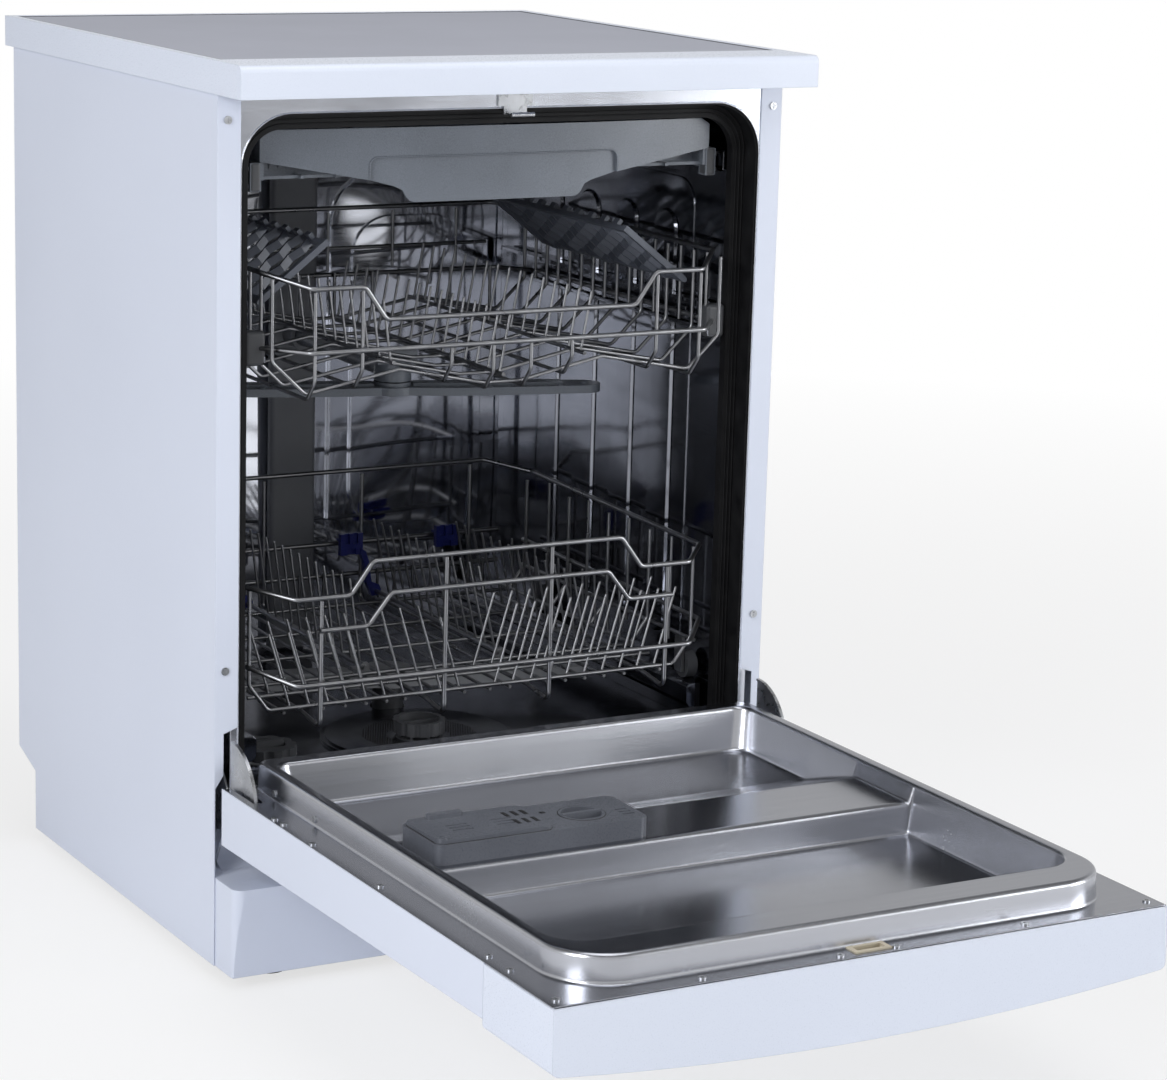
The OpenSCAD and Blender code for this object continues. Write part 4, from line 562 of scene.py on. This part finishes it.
# %% Sections of the pressing, in millimetres
FLANGE_Z, HEEL_Y, RIM_X, RIM_Y = 190, 37, 267, -573
HEEL_STEPS, FRONT_STEPS = 8, 14
# along the pan: y, height
pan_line = [(-527, 168), (-285, 168), (-282.4, 168.5), (-281, 170.4), (-279.6, 193.6), (-278.6, 196.4),
            (-276.4, 197.7), (-273, 198), (-196, 198), (-190, 197.4), (-184, 196), (-112, 173.9),
            (-107, 172.5), (-101, 172), (39, 172)]
# inset at the sides, at the front and at the heel, front and heel corner radius, height, share of the pan
rim_line = [
    (-2.4, -2.4, 0, 58.4, 14, 0, 0), (-1.1, -1.1, 0, 57.1, 14, 0.4, 0), (-0.3, -0.3, 0.1, 56.3, 14, 1.4, 0),
    (0, 0, 0.2, 56, 14, 3, 0), (0.7, 0.9, 0.4, 55.6, 14, 20.6, 0), (1.2, 1.5, 0.9, 55, 14, 22.4, 0),
    (2.2, 2.6, 1.9, 54, 14, 23.8, 0), (3.6, 4.1, 3.3, 52.6, 14, 24.6, 0), (5.2, 5.8, 5, 51, 14, 24.8, 0),
    (10.8, 39.6, 18, 38.4, 14, 24.8, 0), (12.2, 41.4, 19.6, 36.6, 14, 24.4, 0),
    (13.3, 42.8, 20.8, 35.4, 14, 23.2, 0), (13.9, 43.8, 21.6, 34.6, 14, 21.2, 0),
    (18.8, 50.4, 27, 30.5, 16, 21.2, 0.9), (19.8, 51.8, 28.4, 30, 16.6, 21.2, 0.96),
    (21.6, 54.4, 30.4, 30, 17.2, 21.2, 0.99), (24, 58, 33, 30, 18, 21.2, 1),
]


def pan_height(y):
    for (y0, z0), (y1, z1) in zip(pan_line, pan_line[1:]):
        if y <= y1:
            return z0 + (z1 - z0) * max(0, y - y0) / (y1 - y0)
    return pan_line[-1][1]


def bend(x, y, radius, first, last, steps):
    angles = [math.radians(first + (last - first) * i / steps) for i in range(steps + 1)]
    return [(x + radius * math.cos(a), y + radius * math.sin(a)) for a in angles]


def ring_of(row):
    side, front, heel, front_r, heel_r, height, share = row
    x, y_front, y_heel = RIM_X - side, RIM_Y + front, HEEL_Y - heel
    straight = [(x, y) for y, _ in reversed(pan_line[1:-1])]
    right_half = (bend(x - heel_r, y_heel - heel_r, heel_r, 90, 0, HEEL_STEPS) + straight
                  + bend(x - front_r, y_front + front_r, front_r, 0, -90, FRONT_STEPS))
    outline = right_half + [(-px, py) for px, py in reversed(right_half)]
    return [(px * MM, py * MM, ((1 - share) * (FLANGE_Z + height) + share * pan_height(py)) * MM)
            for px, py in outline]


print("rings in the rim:", len(rim_line), "points in a ring:", len(ring_of(rim_line[0])))

# %% The sheet: rings, pan and flange
sheet = bmesh.new()
rings = [[sheet.verts.new(point) for point in ring_of(row)] for row in rim_line]
around = len(rings[0])
for outer, inner in zip(rings, rings[1:]):
    for k in range(around):
        following = (k + 1) % around
        sheet.faces.new((outer[k], outer[following], inner[following], inner[k]))
pan = rings[-1]
for k in range(around // 2 - 1):
    sheet.faces.new((pan[k], pan[k + 1], pan[around - 2 - k], pan[around - 1 - k]))

EDGE_X, EDGE_Y, BACK_Y, SLOT_X, SLOT_Y = 295.9, -594.6, 36, (279, 289), -17
right_edge = [(SLOT_X[0], BACK_Y), (SLOT_X[0], SLOT_Y), (SLOT_X[1], SLOT_Y), (SLOT_X[1], BACK_Y),
              (EDGE_X, BACK_Y), (EDGE_X, EDGE_Y)]
edge_line = right_edge + [(-x, y) for x, y in reversed(right_edge)]
edge_verts = [sheet.verts.new((x * MM, y * MM, FLANGE_Z * MM)) for x, y in edge_line]
rim_foot = [v for v in rings[0] if v.co.y <= BACK_Y * MM]
flange = sheet.faces.new(edge_verts + rim_foot[::-1])
bmesh.ops.triangulate(sheet, faces=[flange])
bmesh.ops.recalc_face_normals(sheet, faces=sheet.faces)
sheet.faces.ensure_lookup_table()
if sum(f.normal.z * f.calc_area() for f in sheet.faces) < 0:
    bmesh.ops.reverse_faces(sheet, faces=sheet.faces)
sheet_mesh = bpy.data.meshes.new("pressed_liner")
sheet.to_mesh(sheet_mesh)
sheet.free()
liner = add_object("pressed_liner", sheet_mesh)
print("faces in the sheet:", len(sheet_mesh.polygons))

# %% [markdown]
# Solidify gives the sheet its gauge, and two boolean cuts open it for the dispenser and the latch. Both
# are modifiers, so the result is turned into a plain mesh before the liner rides on the door. Each face's
# share of painted wall light, which also makes the walls rougher, is then read off its slope.

# %% Gauge and openings
GAUGE = 1.0
DISPENSER_CUT = (-228, -267, 190), (-26, -202, 204)
LATCH_CUT = (-13.4, -588.4, 186), (19.4, -573.6, 192)
FLAT_SLOPE, SLOPE_RANGE = 0.95, 0.4


def between(low, high, share):
    """A point of a box in metres, where share runs from -0.5 to 0.5 on each axis."""
    return [((l + h) / 2 + c * (h - l)) * MM for l, h, c in zip(low, high, share)]


def cutter_box(low, high):
    box = bmesh.new()
    bmesh.ops.create_cube(box, size=1)
    for v in box.verts:
        v.co = between(low, high, v.co)
    mesh = bpy.data.meshes.new("cutter")
    box.to_mesh(mesh)
    box.free()
    return add_object("cutter", mesh)


def plain_mesh(thing):
    """What an object looks like with its modifiers, as a mesh of its own."""
    bpy.context.view_layer.update()
    graph = bpy.context.evaluated_depsgraph_get()
    return bpy.data.meshes.new_from_object(thing.evaluated_get(graph), depsgraph=graph)


gauge = liner.modifiers.new("gauge", "SOLIDIFY")
gauge.thickness, gauge.offset, gauge.use_even_offset = GAUGE * MM, -1, True
cutters = [cutter_box(*DISPENSER_CUT), cutter_box(*LATCH_CUT)]
for cutter in cutters:
    cut = liner.modifiers.new("opening", "BOOLEAN")
    cut.object, cut.operation, cut.solver = cutter, "DIFFERENCE", "EXACT"
liner_mesh = plain_mesh(liner)
liner.modifiers.clear()
liner.data = liner_mesh
for cutter in cutters:
    bpy.data.objects.remove(cutter)

# Steep faces get painted light, a lighter colour, and a rougher skin where the press drew the sheet.
wall_light_and_rough_share = liner_mesh.attributes.new("drawn", "FLOAT", "FACE")
for face in liner_mesh.polygons:
    wall_light_and_rough_share.data[face.index].value = min(1, max(0, (FLAT_SLOPE - abs(face.normal.z)) / SLOPE_RANGE))
liner_mesh.shade_smooth()
liner_mesh.set_sharp_from_angle(angle=SHARP_TURN)
liner_mesh.materials.clear()
liner_mesh.materials.append(liner_steel.material)
let_flats_lead(liner)
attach(liner, "door")
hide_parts("door_liner")
print("pressed liner faces:", len(liner_mesh.polygons))

# %% [markdown]
# ## Small pieces that repeat
# Real machines carry rows of small things: rounded ends on every tine, a rim round every nozzle, holes
# punched in the filter, a seal round the worktop and fine ribs on the gasket. Copies placed by hand would
# be slow and uneven. Each is grown by a node tree from a few seed points or a path instead, turned into a
# plain mesh, and rides on the body it sits on.

# %% Growing a piece
def seed_mesh(name, points, paths=()):
    """Points in millimetres; each path is a list of points that are joined one after the other."""
    corners, edges = [tuple(c * MM for c in p) for p in points], []
    for path in paths:
        start = len(corners)
        corners += [tuple(c * MM for c in p) for p in path]
        edges += [(start + i, start + i + 1) for i in range(len(path) - 1)]
    mesh = bpy.data.meshes.new(name)
    mesh.from_pydata(corners, edges, [])
    return mesh


def grow(name, tree, mesh, body, slot, **values):
    seed = add_object(name + "_seed", mesh)
    tree.put_on(seed, **values)
    real = plain_mesh(seed)
    bpy.data.objects.remove(seed)
    piece = add_object(name, real)
    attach(piece, body)
    print(name, "faces:", len(real.polygons), "size in mm:", [round(d / MM, 1) for d in piece.dimensions])


def row(start, step, count):
    return [tuple(s + i * d for s, d in zip(start, step)) for i in range(count)]


print("a row of three points:", row((0, 0, 0), (20, 0, 0), 3))

# %% [markdown]
# The end of a tine is rounded off in a small die, so that it can't scratch the dishes. One ball on the
# end of each wire does the same, with few faces, because there are more than a hundred of them. The
# tines of the upper basket stand on its wavy floor, so their height changes from row to row.

# %% Rounded ends of the tines
WIRE_END_R = 1.34
PITCH_LOWER, PITCH_SIDE, PITCH_UPPER = 20, 26, 24
TINE_RISE = 61.9
FLOOR_WAVE = {-108: 566, 8: 548, 96: 563.5}

beads = Tree("bead_on_each_point", Radius="Float", Material="Material")
ball = beads.add("GeometryNodeMeshUVSphere", None,
                 {"Segments": 8, "Rings": 4, "Radius": beads.given["Radius"]})
beads.close(beads.add("GeometryNodeInstanceOnPoints", None,
                      {"Points": beads.given["Geometry"], "Instance": ball}))

back_y, across = (0, PITCH_LOWER, 0), (PITCH_LOWER, 0, 0)
tine_ends = {
    "left_tines": row((-92, 201, 334), back_y, 13),
    "right_tines": row((50, 201, 334), back_y, 13),
    "lower_basket": row((154, 192, 320), back_y, 14)
    + row((-213, 200, 300), (0, PITCH_SIDE, 0), 10) + row((213, 200, 300), (0, PITCH_SIDE, 0), 10)
    + row((-40, 107, 312), (-PITCH_LOWER, 0, 0), 10) + row((-40, 155, 312), (-PITCH_LOWER, 0, 0), 10)
    + row((44, 107, 318), across, 10) + row((44, 155, 318), across, 10),
    "upper_basket": [end for x, z in FLOOR_WAVE.items()
                     for end in row((x + (-8 if x < 0 else 10), 86, z + TINE_RISE), (0, PITCH_UPPER, 0), 16)],
}
for body, ends in tine_ends.items():
    grow("tine_ends_" + body, beads, seed_mesh("ends", ends), body, "basket_wire",
         Radius=WIRE_END_R * MM, Material=wire_metal.material)

# %% [markdown]
# Each nozzle of a spray arm is a hole with a raised rim, moulded with the arm. A boolean for each would
# be heavy for what shows, so the rim is a thin ring that is laid round every hole. The arms are drawn
# along X and then turned to the angle at which they rest.

# %% Rims of the nozzles
HUB = (0, 300)
NOZZLES_PER_SIDE, FIRST_NOZZLE, NOZZLE_STEP = 4, 62, 36
OFF_LINE, END_INSET = (13, -14), 16
NOZZLE_R, NOZZLE_RIM = 3.2, 0.8
# reach of the arm, height of its nozzles, angle at rest
LOWER_ARM, UPPER_ARM = (213, 208.2, -14), (214, 505.8, -17)

rims = Tree("rim_on_each_point", Radius="Float", Thickness="Float", Material="Material")
circle = rims.add("GeometryNodeCurvePrimitiveCircle", None,
                  {"Resolution": 20, "Radius": rims.given["Radius"]})
section = rims.add("GeometryNodeCurvePrimitiveCircle", None,
                   {"Resolution": 6, "Radius": rims.given["Thickness"]})
ring = rims.add("GeometryNodeCurveToMesh", None, {"Curve": circle, "Profile Curve": section})
rims.close(rims.add("GeometryNodeInstanceOnPoints", None,
                    {"Points": rims.given["Geometry"], "Instance": ring}))


def turned(points, degrees, centre=(0, 0)):
    c, s = math.cos(math.radians(degrees)), math.sin(math.radians(degrees))
    return [(centre[0] + x * c - y * s, centre[1] + x * s + y * c, z) for x, y, z in points]


def nozzles(reach, z, angle):
    one_side = [(FIRST_NOZZLE + NOZZLE_STEP * i, OFF_LINE[i % 2], z) for i in range(NOZZLES_PER_SIDE)]
    along_x = one_side + turned(one_side, 180) + [(reach - END_INSET, 0, z)]
    return seed_mesh("nozzles", turned(along_x, angle, HUB))


grow("lower_nozzle_rims", rims, nozzles(*LOWER_ARM), "lower_arm", "light_grey_plastic",
     Radius=NOZZLE_R * MM, Thickness=NOZZLE_RIM * MM, Material=light_plastic)
grow("upper_nozzle_rims", rims, nozzles(*UPPER_ARM), "upper_arm", "grey_plastic",
     Radius=NOZZLE_R * MM, Thickness=NOZZLE_RIM * MM, Material=grey_plastic)

# %% [markdown]
# The coarse filter is a stainless plate with hundreds of punched holes. The tree lays a grid of points,
# shifts every other row by half a step, drops the points outside the ring, lifts the rest on to the
# dished surface of the plate and sets a short dark plug into each, painted shade that stands for the
# depth of the hole. A plug has few faces, and from a step away it reads as a hole.

# %% Holes punched in the filter plate, as plugs of painted shade
GRID_ROWS = 60
HOLE_STEP, HOLE_R, HOLE_DEPTH = 2.7, 0.8, 0.4
HOLES_FROM, HOLES_TO = 32, 57
FILTER_X, FILTER_Y = -24, 180
PLATE_Z, PLATE_GAUGE, DISH_FROM, DISH_RISE = 171.1, 1.6, 23.05, 2.6 / 36.95

holes = Tree("punched_ring", Step="Float", Inner="Float", Outer="Float", Hole_Radius="Float", Base="Float",
             Rise="Float", Material="Material")
grid_side = holes.maths("MULTIPLY", holes.given["Step"], GRID_ROWS - 1.0)
grid = holes.add("GeometryNodeMeshGrid", None, {"Size X": grid_side, "Size Y": grid_side,
                                                "Vertices X": GRID_ROWS, "Vertices Y": GRID_ROWS})
odd = holes.maths("MODULO", holes.add("GeometryNodeInputIndex"), 2.0)
half_step = holes.maths("MULTIPLY", holes.maths("MULTIPLY", odd, holes.given["Step"]), 0.5)
staggered = holes.add("GeometryNodeSetPosition", None,
                      {"Geometry": grid, "Offset": holes.add("ShaderNodeCombineXYZ", None, {"X": half_step})})
from_middle = holes.add("ShaderNodeVectorMath", {"operation": "LENGTH"},
                        {0: holes.add("GeometryNodeInputPosition")}, out="Value")
too_near = holes.is_so("LESS_THAN", from_middle, holes.given["Inner"])
too_far = holes.is_so("GREATER_THAN", from_middle, holes.given["Outer"])
outside = holes.add("FunctionNodeBooleanMath", {"operation": "OR"}, {0: too_near, 1: too_far})
kept = holes.add("GeometryNodeDeleteGeometry", {"domain": "POINT"},
                 {"Geometry": staggered, "Selection": outside})
dish = holes.maths("MULTIPLY_ADD", from_middle, holes.given["Rise"], holes.given["Base"])
lifted = holes.add("GeometryNodeSetPosition", None,
                   {"Geometry": kept, "Offset": holes.add("ShaderNodeCombineXYZ", None, {"Z": dish})})
plug = holes.add("GeometryNodeMeshCylinder", {"fill_type": "NGON"},
                 {"Vertices": 8, "Radius": holes.given["Hole_Radius"], "Depth": HOLE_DEPTH * MM})
punched = holes.add("GeometryNodeInstanceOnPoints", None, {"Points": lifted, "Instance": plug})
centred = holes.add("GeometryNodeTransform", None,
                    {"Geometry": punched, "Translation": (FILTER_X * MM, FILTER_Y * MM, 0)})
holes.close(centred)
# Each hole is a black plug: painted shade where the hole goes through the plate.
grow("filter_holes_painted_shade", holes, seed_mesh("plate", []), "cabinet", "black_plastic", Step=HOLE_STEP * MM,
     Inner=HOLES_FROM * MM, Outer=HOLES_TO * MM, Hole_Radius=HOLE_R * MM, Rise=DISH_RISE,
     Base=(PLATE_Z + PLATE_GAUGE - DISH_FROM * DISH_RISE) * MM, Material=black_plastic)

# %% [markdown]
# A thin dark seal lies in the joint between the laminate board and its white frame, and the rubber
# round the mouth has fine lips along its whole length. The steel edge of the mouth is folded over, and
# the fold is a thin bead of the flange steel that is painted light, so its bright line is partly a
# painted highlight. All are drawn as paths, and the tree runs a small section along them.

# %% Seal of the worktop
lips = Tree("section_along_path", Width="Float", Height="Float", Material="Material")
path = lips.add("GeometryNodeMeshToCurve", None, {"Mesh": lips.given["Geometry"]})
profile = lips.add("GeometryNodeCurvePrimitiveQuadrilateral", None, {"Width": lips.given["Width"],
                                                                     "Height": lips.given["Height"]})
lips.close(lips.add("GeometryNodeCurveToMesh", None,
                    {"Curve": path, "Profile Curve": profile, "Fill Caps": True}))


def run_along(name, paths, body, slot, finish, width, height):
    grow(name, lips, seed_mesh(name, [], paths), body, slot, Width=width * MM, Height=height * MM,
         Material=finish)


SEAL_X, SEAL_FRONT, SEAL_REAR, SEAL_Z = 288.4, 65.6, 583.4, 854.4
SEAL_GAP = 0.01
seal_path = [(x, y, SEAL_Z) for x, y in (
    (0, SEAL_FRONT), (SEAL_X, SEAL_FRONT), (SEAL_X, SEAL_REAR), (-SEAL_X, SEAL_REAR),
    (-SEAL_X, SEAL_FRONT), (-SEAL_GAP, SEAL_FRONT))]
run_along("worktop_seal", [seal_path], "cabinet", "dark_plastic", dark_plastic, 1.8, 0.7)

# %% Gasket lips and the folded edge of the mouth
LIP_X, LIP_TOP, LIP_R, LIP_Y, LIP_FOOT = 268.5, 802.5, 44, 80.8, 182
LIP_COUNT, LIP_STEP, LIP_R_STEP = 3, 4, 3
MOUTH_X, MOUTH_TOP, MOUTH_R, MOUTH_FOOT = 272.5, 806.5, 49.5, 184
FLANGE_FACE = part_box("tub_front_frame")[0].y / MM


def mouth_path(half, top, radius, y, foot):
    corner = [(x, y, z) for x, z in bend(half - radius, top - radius, radius, 0, 90, 10)]
    right_side = [(half, y, foot)] + corner
    return right_side + [(-x, y, z) for x, y, z in reversed(right_side)]


lip_paths = [mouth_path(LIP_X - LIP_STEP * i, LIP_TOP - LIP_STEP * i, LIP_R - LIP_R_STEP * i, LIP_Y, LIP_FOOT)
             for i in range(LIP_COUNT)]
run_along("gasket_lips", lip_paths, "cabinet", "black_rubber", rubber.material, 1.3, 0.9)
# The edge is made of the flange steel painted light: a painted highlight along the fold.
run_along("mouth_edge", [mouth_path(MOUTH_X, MOUTH_TOP, MOUTH_R, FLANGE_FACE, MOUTH_FOOT)], "cabinet",
          "stainless_bright", flange_steel_painted_reflection, 1.1, 1.1)

# %% [markdown]
# The handle panel in the middle of the cutlery tray is framed by a fine raised line that catches the
# light. It follows the bow of the front, so its path is worked out from the same curve.

# %% Line round the handle panel of the tray
PANEL_X, PANEL_CORNER_X, PANEL_CORNER_R, PANEL_FOOT, PANEL_TOP = 131, 123, 8, 741, 761
BOW_Y, BOW_DEPTH, BOW_HALF, LINE_PROUD = 84, 12, 240, 0.2


def on_bow(x, z):
    return (x, BOW_Y + BOW_DEPTH * (x / BOW_HALF) ** 2 - LINE_PROUD, z)


corner_z = PANEL_TOP - PANEL_CORNER_R
panel_outline = ([(-PANEL_X, PANEL_FOOT)] + bend(-PANEL_CORNER_X, corner_z, PANEL_CORNER_R, 180, 90, 6)
                 + [(12 * i, PANEL_TOP) for i in range(-9, 10)]
                 + bend(PANEL_CORNER_X, corner_z, PANEL_CORNER_R, 90, 0, 6) + [(PANEL_X, PANEL_FOOT)])
run_along("tray_panel_line", [[on_bow(x, z) for x, z in panel_outline]], "tray", "grey_plastic",
          grey_plastic, 1.4, 1.0)

# %% [markdown]
# A dark moulded cap closes the front end of each sliding beam, on the upper basket and on the tray, so
# that no bare metal end meets a hand. Each is a block with well rounded edges, and a bevel on a cube is
# the plainest way to that shape. Left and right are one piece, because they ride on the same body.

# %% End caps of the sliding beams
CAP_SEGMENTS, ROUND = 4, 0.5


def end_caps(name, low, high, rounding, body):
    caps = bmesh.new()
    for side in (-1, 1):
        for v in bmesh.ops.create_cube(caps, size=1)["verts"]:
            x, y, z = between(low, high, v.co)
            v.co = (side * x, y, z)
    bmesh.ops.bevel(caps, geom=caps.edges, offset=rounding * MM, segments=CAP_SEGMENTS, profile=ROUND,
                    affect="EDGES")
    bmesh.ops.recalc_face_normals(caps, faces=caps.faces)
    for face in caps.faces:
        face.smooth = True
    mesh = bpy.data.meshes.new(name)
    caps.to_mesh(mesh)
    caps.free()
    mesh.materials.append(dark_plastic)
    piece = add_object(name, mesh)
    let_flats_lead(piece)
    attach(piece, body)
    print(name, "faces:", len(mesh.polygons))


end_caps("runner_end_caps", (235.6, 83.4, 573.4), (256.4, 97.4, 606), 4.0, "upper_basket")
end_caps("tray_end_caps", (235.8, 96.4, 731), (247.0, 110.2, 759), 3.0, "tray")

# %% [markdown]
# The dispenser in the door is two mouldings. A thin gap runs round its lid, six dosing slots pierce
# the lid, a ring marks the seat of the rinse-aid cap and a small sight hole lies beside it. The gap, the
# slots and the sight hole are thin dark strips, painted shadow for the shade that lies in them. They are
# short paths too, so the same tree makes them; the ring comes from the nozzle tree.

# %% Painted shadow of the gap, slots and sight hole, and the ring of the dispenser
BODY_Z, GAP_SHADOW_Z, LID_Z = 215.95, 216.1, 219.45
# A dark strip in the gap round the lid: painted shadow.
gap_shadow_path = [(x, y, GAP_SHADOW_Z) for x, y in (
    (-229.6, -262), (-229.6, -207), (-224, -200.6), (-121, -200.6), (-115.9, -206), (-115.9, -263),
    (-121, -268.6), (-222, -268.6), (-229.6, -262))]
run_along("dispenser_gap_painted_shadow", [gap_shadow_path], "door", "black_plastic", black_plastic, 0.9, 0.5)

# Dark strips in the dosing slots and the sight hole: painted shade.
SLOT_LENGTH = 13
slot_shade_paths = [[(x, y, LID_Z), (x, y - SLOT_LENGTH, LID_Z)] for y in (-216, -238) for x in (-141, -132, -123)]
run_along("dosing_slots_painted_shade", slot_shade_paths, "detergent_flap", "black_plastic", black_plastic, 4.2, 0.4)
run_along("sight_hole_painted_shade", [[(-103, -218, BODY_Z), (-103, -223, BODY_Z)]], "door", "black_plastic",
          black_plastic, 5, 0.4)

CAP_SEAT, CAP_SEAT_R, CAP_SEAT_WIDTH = (-72, -236.5, 215.9), 21.6, 0.5
grow("rinse_seat_ring", rims, seed_mesh("ring", [CAP_SEAT]), "door", "black_plastic",
     Radius=CAP_SEAT_R * MM, Thickness=CAP_SEAT_WIDTH * MM, Material=black_plastic)

# %% [markdown]
# Five small lenses sit in a row in the control panel. Each is the round end of a light guide, which could
# be modelled whole, but only the tip shows. The tree that rounds the tines sets the tips as well, a
# little larger.

# %% Indicator lenses
FIRST_LENS, LENS_PITCH, LENS_R = (-40, -572, 119.6), 20, 1.7
grow("indicator_lenses", beads, seed_mesh("lenses", row(FIRST_LENS, (LENS_PITCH, 0, 0), 5)), "door",
     "light_grey_plastic", Radius=LENS_R * MM, Material=light_plastic)
